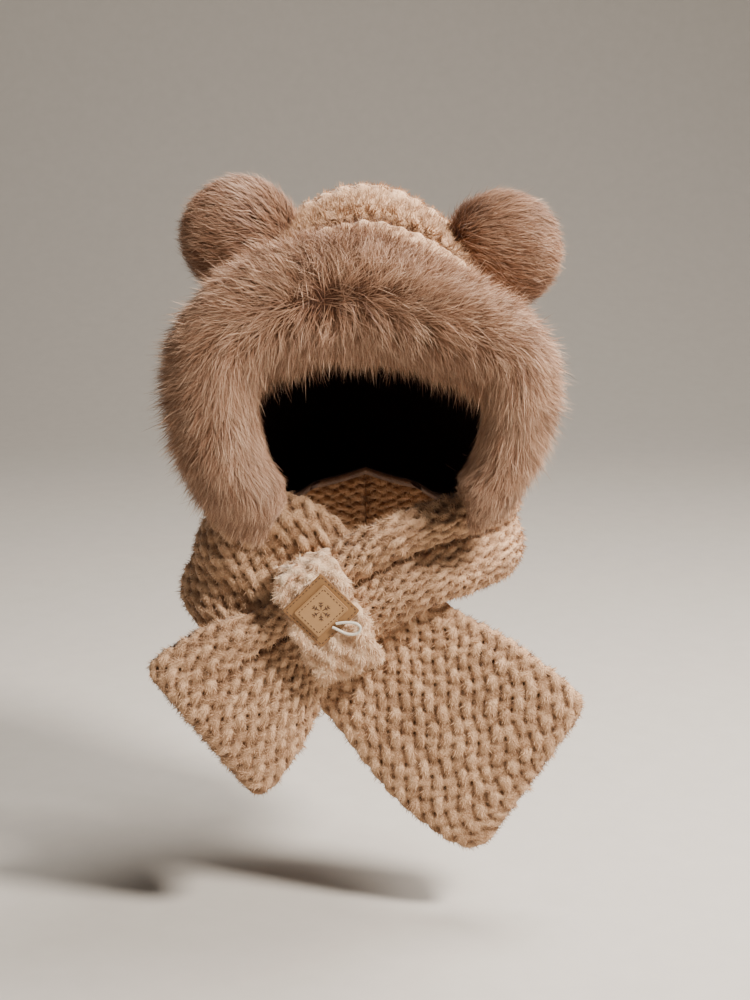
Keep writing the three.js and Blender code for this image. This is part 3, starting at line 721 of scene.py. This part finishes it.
def scarf_half(name, upper, lower, thickness, shade):
    """The knit, the ground under it, the length and the tables for the pile of one half."""
    fine = np.linspace(0, 1, 1200)
    run = np.cumsum(np.linalg.norm(np.diff((smooth_line(upper, fine) + smooth_line(lower, fine)) / 2,
                                           axis=0, prepend=[(upper[0] + lower[0]) / 2]), axis=1))
    length = run[-1]
    spots = np.linspace(0, length, scarf_rows)
    shares = np.interp(spots, run, fine)
    up, low = smooth_line(upper, shares), smooth_line(lower, shares)
    middle, width = (up + low) / 2, low - up
    along = unit(unit(np.gradient(up, axis=0)) + unit(np.gradient(low, axis=0)))
    out = unit(np.cross(along, width))
    away = np.stack([middle[:, 0], middle[:, 1] - tail_lean, middle[:, 1] * 0], axis=1)
    out = np.where((np.sum(out * away, axis=1) < 0)[:, None], -out, out)
    place, level = bar_section(scarf_columns)
    wale = np.arange(scarf_columns + 1) / scarf_columns * 2 * scarf_wales + 0.5
    left = length - spots
    corner = 0.02
    half = np.linalg.norm(width, axis=1) / 2
    narrow = (half - corner * (1 - rounded(left, corner))) / half
    closing = rounded(left, 0.008)
    closing[0] = 0.0
    full = thickness(place[None], shares[:, None])
    raised = np.where(level[None] > 0, full / 2 + full / 2 * level[None],
                      np.minimum(full, scarf_thickness) * (0.5 + 0.5 * level[None]))
    raised = scarf_thickness / 2 + (raised - scarf_thickness / 2) * closing[:, None]
    places = (middle[:, None] + width[:, None] * (place[None] * narrow[:, None] / 2)[..., None]
              + out[:, None] * raised[..., None])
    places = places - along[:, None] * (limited(1 - spots / 0.003) * 0.002)[:, None, None]
    base = ground(name + "_ground", places, depth=0.003, every=5)
    course = spots[:, None] / scarf_pitch + 0.12 * np.sin(wale[None] * 2.1 + spots[:, None] * 60)
    shift = 0.1 * np.sin(spots[:, None] * 95 + 1.3) * np.sin(wale[None] * 1.7)
    petal_, lean_, tone_ = stitches(wale[None] + shift, course)
    # painted shade: in the folds the stitches are drawn lower, so they sink and turn deep brown
    if shade:
        petal_ = petal_ * (1 - 0.9 * shade(place[None], shares[:, None]) * (level[None] > 0))
    scallop = limited(1 - left / 0.03)[:, None] * np.abs(np.sin(math.pi * wale[None])) * 0.005
    places = places + along[:, None] * scallop[..., None]
    normals = facing(places)
    depth = (petal_ - 0.55) * stitch_height * limited(spots / 0.01)[:, None]
    places = places + normals * depth[..., None]
    flow = unit(np.gradient(places, axis=0)) + unit(np.gradient(places, axis=1)) * lean_[..., None]
    values = {"height": petal_, "tone": tone_}
    return closed_wall(name, places, values), base, length, (places, facing(places), flow, values)


print("stitches along a half are", scarf_pitch * 1000, "mm apart")

# %% Both halves
halves = {}
for side, edges, thickness, shade in (("left", under_edges, under_thickness, None),
                                      ("right", upper_edges, upper_thickness, upper_shade)):
    cloth, base, length, grid = scarf_half(f"scarf_{side}_knit", *edges, thickness, shade)
    dress(base, knit, "knit", f"scarf_{side}")
    dress(cloth, knit, "knit")
    pile = dress(short_pile(f"scarf_{side}_pile", *grid, count=48000, **knit_pile), knit, "knit")
    halves[side] = base, round(length, 2), [cloth, pile]
    print(side, "half", round(length, 3), "m,", round(cloth_area(base), 4), "m2")

# %% [markdown]
# ## Keeper
# A strap of smooth plush arches over the upper half and pins it. It isn't knitted, so its wall has only
# slow swells, and its pile is dense, short and combed one way.

# %% Keeper
keeper_rows = [(-0.5, 0, 0.8), (-0.49, 0.4, 0.9), (-0.43, 0.82, 0.98), (-0.28, 1, 1.04), (0, 1.04, 1.08),
               (0.28, 1, 1.06), (0.43, 0.82, 1), (0.49, 0.4, 0.94), (0.5, 0, 0.84)]
angle = math.radians(-66)
strap = np.array([math.cos(angle), 0, math.sin(angle)])
strap_across = np.array([-strap[2], 0, strap[0]])
keeper_middle = np.array([-0.27 * collar_half, under_front, hem_z - 0.77 * scarf_width])
arch = np.array([keeper_middle + strap * along * keeper_length - np.array([0, rise_ * keeper_rise, 0])
                 for along, rise_, wide in keeper_rows])
shares = np.linspace(0, 1, 120)
centre = smooth_line(arch, shares)
travel = unit(np.gradient(centre, axis=0))
out = unit(np.cross(travel, strap_across))
toward = centre - keeper_middle - np.array([0, 1, 0])
out = np.where((np.sum(out * toward, axis=1) < 0)[:, None], -out, out)
half_wide = np.interp(shares * 8, range(9), [row[2] for row in keeper_rows]) * keeper_width / 2
place, level = bar_section(110)
ends = rounded(np.minimum(shares, 1 - shares), 0.02)
keeper_walls = (centre[:, None] + strap_across * (place * half_wide[:, None])[..., None]
                + out[:, None] * (level * keeper_thickness / 2 * ends[:, None])[..., None])
swell = (np.sin(place[None] * 6 + shares[:, None] * 26)
         + np.sin(place[None] * 11 - shares[:, None] * 41)) / 2
keeper_walls = keeper_walls + facing(keeper_walls) * (swell * 0.0018)[..., None]
# painted shade and highlight: the plush finish draws the swells' hollows darker and their tops paler
plain = {"height": 0.75 + 0.2 * swell, "tone": 0.5 + 0.3 * swell}
keeper_plush = closed_wall("keeper_plush", keeper_walls, plain)
# the first colour is the painted shade in the plush's hollows
velvet = plush("plush", paint(100, 62, 38), paint(186, 142, 106), paint(252, 220, 184), gap=1.9)
dress(keeper_plush, velvet, "plush", "keeper_loop")


def under_leather(places):
    """Whether places lie in front of or behind the leather."""
    away_x, away_z = np.abs(places[:, 0] - patch_middle.x), np.abs(places[:, 2] - patch_middle.z)
    return (away_x + away_z < patch_side / math.sqrt(2) - 0.001) & (places[:, 1] < keeper_middle[1])


keeper_flow = np.broadcast_to(strap_across * -0.3 + strap, keeper_walls.shape)
keeper_pile = short_pile("keeper_pile", keeper_walls, facing(keeper_walls), keeper_flow, plain,
                         count=26000, length=0.0075, width=0.0008, raised=0.6, bare=under_leather)
dress(keeper_pile, velvet, "plush")
print("keeper", len(keeper_plush.data.polygons), "faces")

# %% [markdown]
# ## Leather patch
# Two squares of tan leather, one on the other, each with a rounded and slightly burnished edge and a row of
# dark stitches. A bevelled slab gives the edge. A small snowflake stands in the middle of it.


# %% Leather squares
def on_patch(front, turn):
    """The flat place of the patch at this depth, turned by this angle."""
    return (Matrix.Translation((patch_middle.x, front, patch_middle.z))
            @ Matrix.Rotation(math.pi / 2, 4, "X") @ Matrix.Rotation(turn, 4, "Z"))


def leather_square(name, length, width, thickness, front, turn):
    form = bmesh.new()
    bmesh.ops.create_cube(form, size=1)
    bmesh.ops.scale(form, vec=(length, width, thickness), verts=form.verts)
    upright = [edge for edge in form.edges if abs(edge.verts[0].co.z - edge.verts[1].co.z) > thickness / 2]
    bmesh.ops.bevel(form, geom=upright, offset=0.002, segments=4, profile=0.5, affect="EDGES", material=-1)
    rim = [edge for edge in form.edges if edge.calc_face_angle(0) > 1.0]
    bmesh.ops.bevel(form, geom=rim, offset=0.0005, segments=3, profile=0.5, affect="EDGES", material=-1)
    bmesh.ops.transform(form, matrix=on_patch(front + thickness / 2, turn), verts=form.verts)
    bmesh.ops.recalc_face_normals(form, faces=form.faces)
    piece = finished(name, form)
    piece.data.shade_flat()
    return piece


def leather(name, dark, light, length, width, turn):
    finish = Finish(name, 0.5, Specular_IOR_Level=0.4)
    place_ = finish.coordinates(centre=tuple(patch_middle), turn=(0, -turn, 0))
    split = finish.node("ShaderNodeSeparateXYZ", None, {0: place_})
    x, z = Value(finish, split.outputs[0]), Value(finish, split.outputs[2])
    edge_x = x.math("ABSOLUTE", x) * (2 / length)
    edge_z = z.math("ABSOLUTE", z) * (2 / width)
    burnish = (edge_x.math("MAXIMUM", edge_x, edge_z) - 0.86) * 6
    pores = finish.noise(finish.coordinates(), 2600, 3)
    stain = finish.noise(finish.coordinates(), 90, 3)
    hide = finish.mix((stain * 0.6 + pores * 0.4), dark, light)
    finish.color(finish.mix(burnish.clamped() * 0.5, hide, paint(120, 78, 44)))
    finish.relief(pores, 0.35, 0.0003)
    return finish


base_turn, top_turn = math.radians(45), math.radians(44)
for node, slot, length, width, thickness, front, turn, dark, light in (
        ("patch_base", "leather", patch_side, patch_side, patch_thickness, base_front, base_turn,
         (136, 96, 56), (166, 124, 80)),
        ("patch_top", "leather_top", top_length, top_width, top_thickness, top_front, top_turn,
         (162, 120, 76), (192, 150, 104))):
    square = leather_square(node + "_leather", length, width, thickness, front, turn)
    dress(square, leather(slot, paint(*dark), paint(*light), length, width, turn), slot, node)
    print(node, len(square.data.polygons), "faces")


# %% Stitches and snowflake
def bars(name, rows_, thick):
    """Small rounded bars on the patch, each from one point to another, in one mesh."""
    form = bmesh.new()
    for (x0, z0), (x1, z1), front, turn in rows_:
        bar = bmesh.ops.create_uvsphere(form, u_segments=8, v_segments=6, radius=0.5)["verts"]
        size = math.hypot(x1 - x0, z1 - z0)
        bmesh.ops.scale(form, vec=(size, thick, thick * 0.7), verts=bar)
        move = (on_patch(front, turn) @ Matrix.Translation(((x0 + x1) / 2, (z0 + z1) / 2, 0))
                @ Matrix.Rotation(math.atan2(z1 - z0, x1 - x0), 4, "Z"))
        bmesh.ops.transform(form, matrix=move, verts=bar)
    bmesh.ops.recalc_face_normals(form, faces=form.faces)
    return finished(name, form)


def seam_rows(length, width, front, turn, inset, pitch):
    """Stitches along a square's four sides, each from one point to another."""
    rows_ = []
    half = np.array([length / 2 - inset, width / 2 - inset])
    corners = [half * sign for sign in ((-1, -1), (1, -1), (1, 1), (-1, 1))]
    for start, end in zip(corners, corners[1:] + corners[:1]):
        count = round(math.hypot(*(end - start)) / pitch)
        for number in range(count):
            first, last = (start + (end - start) * ((number + part) / count) for part in (0.18, 0.82))
            rows_.append((first, last, front, turn))
    return rows_


flake = []
for arm in range(6):
    heading = math.pi / 3 * arm + math.pi / 6
    ray = np.array([math.cos(heading), math.sin(heading)])
    flake.append((ray * 0.001, ray * 0.0095))
    for barb in (0.0045, 0.0068):
        for side in (-1, 1):
            spread = heading + side * math.pi / 3.4
            tip = ray * barb + 0.0026 * np.array([math.cos(spread), math.sin(spread)])
            flake.append((ray * barb, tip))
thread_rows = seam_rows(top_length, top_width, top_front, top_turn, inset=0.003, pitch=0.0036)
thread_rows += seam_rows(patch_side, patch_side, base_front, base_turn, inset=0.0022, pitch=0.0042)
thread_rows += [(start, end, top_front, 0.0) for start, end in flake]
patch_thread = bars("patch_thread", thread_rows, thick=0.0009)
thread = Finish("thread", 0.7)
twist = thread.noise(thread.coordinates(), 4000, 1)
thread.color(thread.mix(twist, paint(58, 36, 24), paint(92, 62, 42)))
thread.relief(twist, 0.4, 0.0002)
dress(patch_thread, thread, "thread")
print("patch thread", len(thread_rows), "bars")

# %% [markdown]
# ## Fur finish
# Deep fur is darker and browner at the root, dusty rose-brown along the hair and pale at the tip. Light
# hair over dark gaps is what makes it read as fur, so the colour follows the place along each hair.

# %% Fur finish
fur = Finish("fur", 0.55, Specular_IOR_Level=0.35, Sheen_Weight=0.1)
tip_share, hair_tone = fur.attribute("tip"), fur.attribute("tone")
patches = fur.noise(fur.coordinates(), 34, 2)
shaft = fur.mix((tip_share * 1.6 - 0.05).clamped(), paint(70, 38, 20), paint(168, 116, 82))
pale = fur.mix(((tip_share - 0.35) * 2.0 * hair_tone).clamped(), shaft, paint(234, 198, 166))
dull = (1.25 - hair_tone * 1.5 + (patches - 0.5) * 1.4).clamped()
fur.color(fur.mix(dull * 0.6, pale, paint(88, 52, 30)))
print("fur finish ready")

# %% [markdown]
# ## Fur trim
# The band is a fat tube of pile. Its hair parts along the middle: the outer half is combed outwards and
# the inner half hangs into the opening. Hair grows in clumps whose tips draw together. So the clumps are
# placed first, and each hair follows its clump over the band's round surface.

# %% Places on the trim
trim_width, trim_depth, trim_pile, trim_length = 0.118, 0.076, 0.020, 0.036
trim_rows = [
    (-0.65, -0.9, -0.02, 0.36, 0.6), (-0.75, -0.84, 0.02, 0.6, 0.86), (-0.97, -0.64, 0.05, 0.72, 0.95),
    (-1.07, -0.32, 0.06, 0.75, 1), (-1.03, -0.02, 0.06, 0.78, 1), (-0.85, 0.18, 0.08, 0.86, 1),
    (-0.52, 0.36, 0.1, 0.96, 1), (-0.06, 0.43, 0.12, 1, 1), (0.45, 0.28, 0.1, 0.87, 1),
    (0.86, 0.09, 0.08, 0.77, 1), (1.06, -0.08, 0.06, 0.66, 1), (1.08, -0.34, 0.06, 0.58, 0.98),
    (0.97, -0.63, 0.05, 0.56, 0.92), (0.82, -0.8, 0.02, 0.52, 0.84), (0.74, -0.84, -0.02, 0.34, 0.6),
]
last_row, parting_row = len(trim_rows) - 1, 6.5
# Which way the hair lies at those rows, in degrees as seen from the front (0 is right, 90 is up): at the
# outer edge, at the inner edge, and how much of the band the change takes.
combing = [
    (-115, -75, 1.4), (-112, -70, 1.4), (-128, -70, 1.4), (-160, -74, 1.3), (-184, -84, 1.0),
    (-198, -100, 0.7), (-232, -104, 0.5), (84, -88, 0.4), (48, -76, 0.7), (28, -72, 1.0), (-4, -94, 1.3),
    (-36, -108, 1.3), (-74, -124, 1.4), (-95, -126, 1.4), (-100, -115, 1.4),
]
across, up, forward, wide, deep = np.array(trim_rows).T
trim_path = np.stack([across * collar_half, ear_line - face_reach - clearance - forward * trim_depth,
                      hood_middle + up * np.where(up > 0, crown_rise, nape_drop)], axis=1)
trim_sizes = np.stack([wide * trim_width / 2, deep * trim_depth / 2], axis=1)
print("the trim runs from", trim_path[0].round(3), "to", trim_path[-1].round(3))


def trim_frame(share_):
    """Middle, way along, way outward and half sizes of the band, and metres per share, at its shares."""
    centre_ = smooth_line(trim_path, share_)
    along_ = smooth_line(trim_path, share_ + 1e-3) - smooth_line(trim_path, share_ - 1e-3)
    speed = np.linalg.norm(along_, axis=-1, keepdims=True) / 2e-3
    along_ = unit(along_)
    outward_ = unit(np.stack([-along_[..., 2], 0 * along_[..., 0], along_[..., 0]], axis=-1))
    sizes = np.stack([np.interp(share_ * last_row, range(last_row + 1), size) for size in trim_sizes.T], -1)
    return centre_, along_, outward_, sizes, speed


def trim_place(share_, angle_, sink):
    centre_, _, outward_, sizes, _ = trim_frame(np.clip(share_, 0.002, 0.998))
    wide = np.maximum(sizes[..., :1] - sink, 0.002)
    deep = np.maximum(sizes[..., 1:] - sink, 0.002)
    turn_ = angle_[..., None]
    return centre_ + outward_ * np.cos(turn_) * wide + np.array([0, -1, 0]) * np.sin(turn_) * deep


# %% Backing of the trim
share_b, angle_b = np.meshgrid(np.linspace(0.002, 0.998, 150), np.linspace(0, 2 * math.pi, 65),
                               indexing="ij")
bulge = np.sqrt(limited(np.minimum(share_b, 1 - share_b) / 0.04))
backing_sink = trim_pile * 0.72 + (1 - bulge) * 0.05
trim_walls = trim_place(share_b, angle_b, backing_sink[..., None])
trim_backing = closed_wall("fur_trim_backing", trim_walls,
                           {"tip": np.zeros(share_b.shape), "tone": np.full(share_b.shape, 0.2)})
dress(trim_backing, fur, "fur", "fur_trim")
print("trim backing", len(trim_backing.data.polygons), "faces")


# %% Hair of the trim
def combed_flow(share_, angle_):
    """The way that hair lies at shares of the band and at angles round it."""
    place_ = np.clip(share_ * last_row, 0, last_row - 0.001)
    low = place_.astype(int)
    ways = []
    for row in (low, low + 1):
        outer_edge, inner_edge, change = np.array(combing, float)[row].T
        blend = limited((np.cos(angle_) + 0.1) / change + 0.5)
        heading = np.radians(inner_edge + (outer_edge - inner_edge) * blend * blend * (3 - 2 * blend))
        ways.append(np.stack([np.cos(heading), 0 * heading, np.sin(heading)], axis=1))
    part = (place_ - low)[:, None]
    return unit(ways[0] * (1 - part) + ways[1] * part + chance.normal(0, 0.05, (len(share_), 3)))


def trim_hair(name, low_share, high_share, clumps, hairs):
    """Clumps of hair between two shares of the band."""
    clump_share = low_share + (high_share - low_share) * chance.random(clumps)
    clump_angle = np.radians(chance.uniform(-75, 215, clumps))
    clump_length = chance.uniform(0.75, 1.2, clumps)
    whorl = np.exp(-((clump_share * last_row - parting_row) / 0.35) ** 2)[:, None]
    clump_flow = combed_flow(clump_share, clump_angle)
    clump_flow = clump_flow + chance.normal(0, 0.16, (clumps, 3)) * (1 + 2 * whorl)
    clump_tone = chance.random(clumps)
    which = np.repeat(np.arange(clumps), hairs)
    total = clumps * hairs
    spread = chance.normal(0, 1, (total, 2)) * 0.0055
    _, along_, outward_, sizes, speed = trim_frame(clump_share[which])
    girth = sizes.mean(axis=1) - trim_pile * 0.6
    root_share = np.clip(clump_share[which] + spread[:, 0] / speed[:, 0], 0.015, 0.985)
    root_angle = clump_angle[which] + spread[:, 1] / girth
    flow = unit(clump_flow[which] + chance.normal(0, 0.09, (total, 3)))
    reach = trim_length * clump_length[which] * chance.uniform(0.75, 1.1, total)
    inward = limited(-np.cos(root_angle))
    reach *= 1 + inward * np.interp(root_share * last_row, [3.5, 5, 6.5, 7.5, 9, 10.5],
                                    [0, 0.6, 0.1, 0.1, 0.6, 0])
    front = np.array([0, -1.0, 0])
    around = (-outward_ * np.sin(root_angle)[:, None] * sizes[:, :1]
              + front * np.cos(root_angle)[:, None] * sizes[:, 1:])
    normal = unit(outward_ * np.cos(root_angle)[:, None] / sizes[:, :1]
                  + front * np.sin(root_angle)[:, None] / sizes[:, 1:])
    turn_by = np.sum(flow * around, axis=1) / np.sum(around ** 2, axis=1) * reach
    slide_by = np.sum(flow * along_, axis=1) * reach / speed[:, 0]
    stand = limited(np.sum(flow * normal, axis=1))[:, None]
    draw = 0.6
    turn_by = turn_by - draw * spread[:, 1] / girth
    slide_by = slide_by - draw * spread[:, 0] / speed[:, 0]
    rise_ = trim_pile * chance.uniform(0.42, 0.72, total)
    laid = np.stack([trim_place(root_share + slide_by * step, root_angle + turn_by * step,
                                (trim_pile * 0.85 - rise_ * up)[:, None])
                     for step, up in ((0, 0), (0.45, 0.75), (1.0, 1.0))], axis=1)
    straight = (flow * reach[:, None] * chance.uniform(0.5, 0.85, (total, 1)))[:, None]
    free = laid[:, :1] + straight * np.array([0, 0.5, 1.0])[:, None]
    loose = (stand ** 1.5)[:, None]
    paths = laid * (1 - loose) + free * loose
    paths[:, 1] += chance.normal(0, 0.0011, (total, 3))
    paths[:, -1] += np.array([0, 0, -0.003]) + chance.normal(0, 0.0015, (total, 3))
    tone_ = limited(clump_tone[which] * 0.55 + chance.random(total) * 0.6 - 0.05)
    across = unit(normal + chance.normal(0, 0.35, (total, 3)))
    return ribbons(name, paths, chance.uniform(0.0004, 0.00085, total), across, {"tone": tone_})


for side, low_share in (("left", 0.0), ("right", 0.5)):
    hair = trim_hair(f"fur_trim_hair_{side}", low_share, low_share + 0.5, clumps=4000, hairs=15)
    dress(hair, fur, "fur")
    print("trim hair", side, len(hair.data.vertices) // 5, "strands")

# %% [markdown]
# ## Ears
# Each ear is a round pad, sewn to the hood at its lower inner side. Its hair fans out from there. The pad
# is a sphere drawn flat, and a hair slides over that sphere away from the seam while it rises.

# %% Pads of the ears
ear_radius, ear_thickness, pad_size = 0.055, 0.050, 0.78
# Side, place of the middle across and up, and the way from there to the seam.
ears = [("left", -0.89, 0.75, np.array([0.86, -0.3, -0.12])),
        ("right", 0.98, 0.66, np.array([-0.84, -0.3, 0.16]))]


def ear_place(centre_, direction, full):
    """A place in the direction from the ear's middle. Full is 1 at the tips of the pile."""
    return centre_ + unit(direction) * np.array([ear_radius, ear_thickness / 2, ear_radius]) * full


def ear_pad(name, centre_):
    tilt, around = np.meshgrid(np.linspace(-math.pi / 2, math.pi / 2, 40), np.linspace(0, 2 * math.pi, 61),
                               indexing="ij")
    way = np.stack([np.cos(tilt) * np.cos(around), np.sin(tilt), np.cos(tilt) * np.sin(around)], axis=-1)
    return closed_wall(name, ear_place(centre_, way, pad_size), {"tip": np.full(tilt.shape, 0.12),
                                                                 "tone": np.full(tilt.shape, 0.3)})


print("pads of the ears are", round(2 * ear_radius * pad_size, 3), "m across")


# %% Hair of the ears
def ear_hair(name, centre_, seam, clumps, hairs):
    way = unit(chance.normal(0, 1, (clumps, 3)))
    which = np.repeat(np.arange(clumps), hairs)
    total = clumps * hairs
    spread = chance.normal(0, 0.11, (total, 3))
    root = unit(way[which] + spread)
    flow = unit(root - seam)
    outward = np.sum(flow * root, axis=1, keepdims=True)
    stand = limited(outward)
    flow = unit(flow - root * outward)
    flow = unit(flow + chance.normal(0, 0.12, (total, 3)) + chance.normal(0, 0.14, (clumps, 3))[which])
    reach = chance.uniform(0.5, 0.75, total)[:, None] * chance.uniform(0.8, 1.15, clumps)[which][:, None]
    reach = reach * (1 - 0.45 * stand ** 2)
    rise_ = chance.uniform(0.08, 0.24, total)[:, None] + 0.06 * stand
    paths = np.stack([ear_place(centre_, root + flow * reach * step - spread * 0.6 * step,
                                pad_size + rise_ * up)
                      for step, up in ((0, 0), (0.45, 0.7), (1.0, 1.0))], axis=1)
    paths[:, 1:] += chance.normal(0, 1, (total, 2, 3)) * np.array([0.0011, 0.0024])[:, None]
    tone_ = limited(chance.random(clumps)[which] * 0.5 + chance.random(total) * 0.5 - 0.1)
    across = unit(root + chance.normal(0, 0.35, (total, 3)))
    return ribbons(name, paths, chance.uniform(0.0005, 0.0009, total), across, {"tone": tone_})


for side, across, up, seam in ears:
    middle = np.array([across * collar_half, -0.16 * collar_back, hood_middle + up * crown_rise])
    pad = dress(ear_pad(f"ear_{side}_pad", middle), fur, "fur", f"ear_{side}")
    hair = dress(ear_hair(f"ear_{side}_hair", middle, seam, clumps=1400, hairs=13), fur, "fur")
    print("ear", side, len(hair.data.vertices) // 5, "strands")

# %% [markdown]
# ## Soft goods
# Each half's ground, knitted length and dressed pieces are read back here; nothing else is done with them.

# %% Sheets of the halves
for side, held, under in (("left", "draped", ["hood_ground"]),
                          ("right", "folded", ["hood_ground", "scarf_left_knit_ground"])):
    base, knitted_length, dressed = halves[side]

# %% [markdown]
# ## Stage and light
# A pale floor sweeps up behind the hood. The light comes from the upper right and from above, with a weak
# fill from the left, so that the stitches and the hair show their depth.

# %% Floor
sheet_length, flat_length, bend_length, bend_radius = 8, 4.2, 2.4, 1.53
stage = bmesh.new()
bmesh.ops.create_grid(stage, x_segments=1, y_segments=40, size=1)
for vertex in stage.verts:
    run = (vertex.co.y + 1) / 2 * sheet_length
    bend = min(max(run - flat_length, 0), bend_length) / bend_length * math.pi / 2
    forward = min(run, flat_length) + bend_radius * math.sin(bend)
    upward = bend_radius * (1 - math.cos(bend)) + max(run - flat_length - bend_length, 0)
    vertex.co = (vertex.co.x * 5, forward - 2.2, upward - 0.66)
floor = finished("floor", stage)
paper = Finish("floor", 0.9)
speck = paper.noise(paper.coordinates(), 40, 2)
paper.color(paper.mix(speck, paint(196, 188, 178), paint(204, 196, 186)))
floor.data.materials.append(paper.material)
floor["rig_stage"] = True
print("floor", len(floor.data.polygons), "faces")

# %% Lights
for name, place, aim_height, size, power, color in (
        ("key", (1.3, -0.8, 1.3), -0.25, 0.45, 116, (1, 0.95, 0.89)),
        ("fill", (-0.9, -1.9, 0.1), -0.3, 1.2, 1.5, (1, 0.93, 0.86)),
        ("top", (0.5, 0.2, 1.1), -0.1, 0.7, 44, (1, 0.97, 0.93))):
    lamp = bpy.data.lights.new(name, "AREA")
    lamp.shape, lamp.size, lamp.energy, lamp.color = "DISK", size, power, color
    aimed(name, lamp, place, (0, 0, aim_height))
    print(name, "light of", power, "W")
world = bpy.data.worlds.new("world")
world.use_nodes = True
backdrop = world.node_tree.nodes["Background"].inputs
backdrop["Color"].default_value = (1, 0.98, 0.95, 1)
backdrop["Strength"].default_value = 0.12
bpy.context.scene.world = world

# %% Sizes and end
triangles = {piece.name: sum(len(face.vertices) - 2 for face in piece.data.polygons)
             for piece in bpy.context.scene.objects
             if piece.type == "MESH" and not piece.hide_render and not piece.get("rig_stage")}
print("triangles", triangles, "in all", sum(triangles.values()))
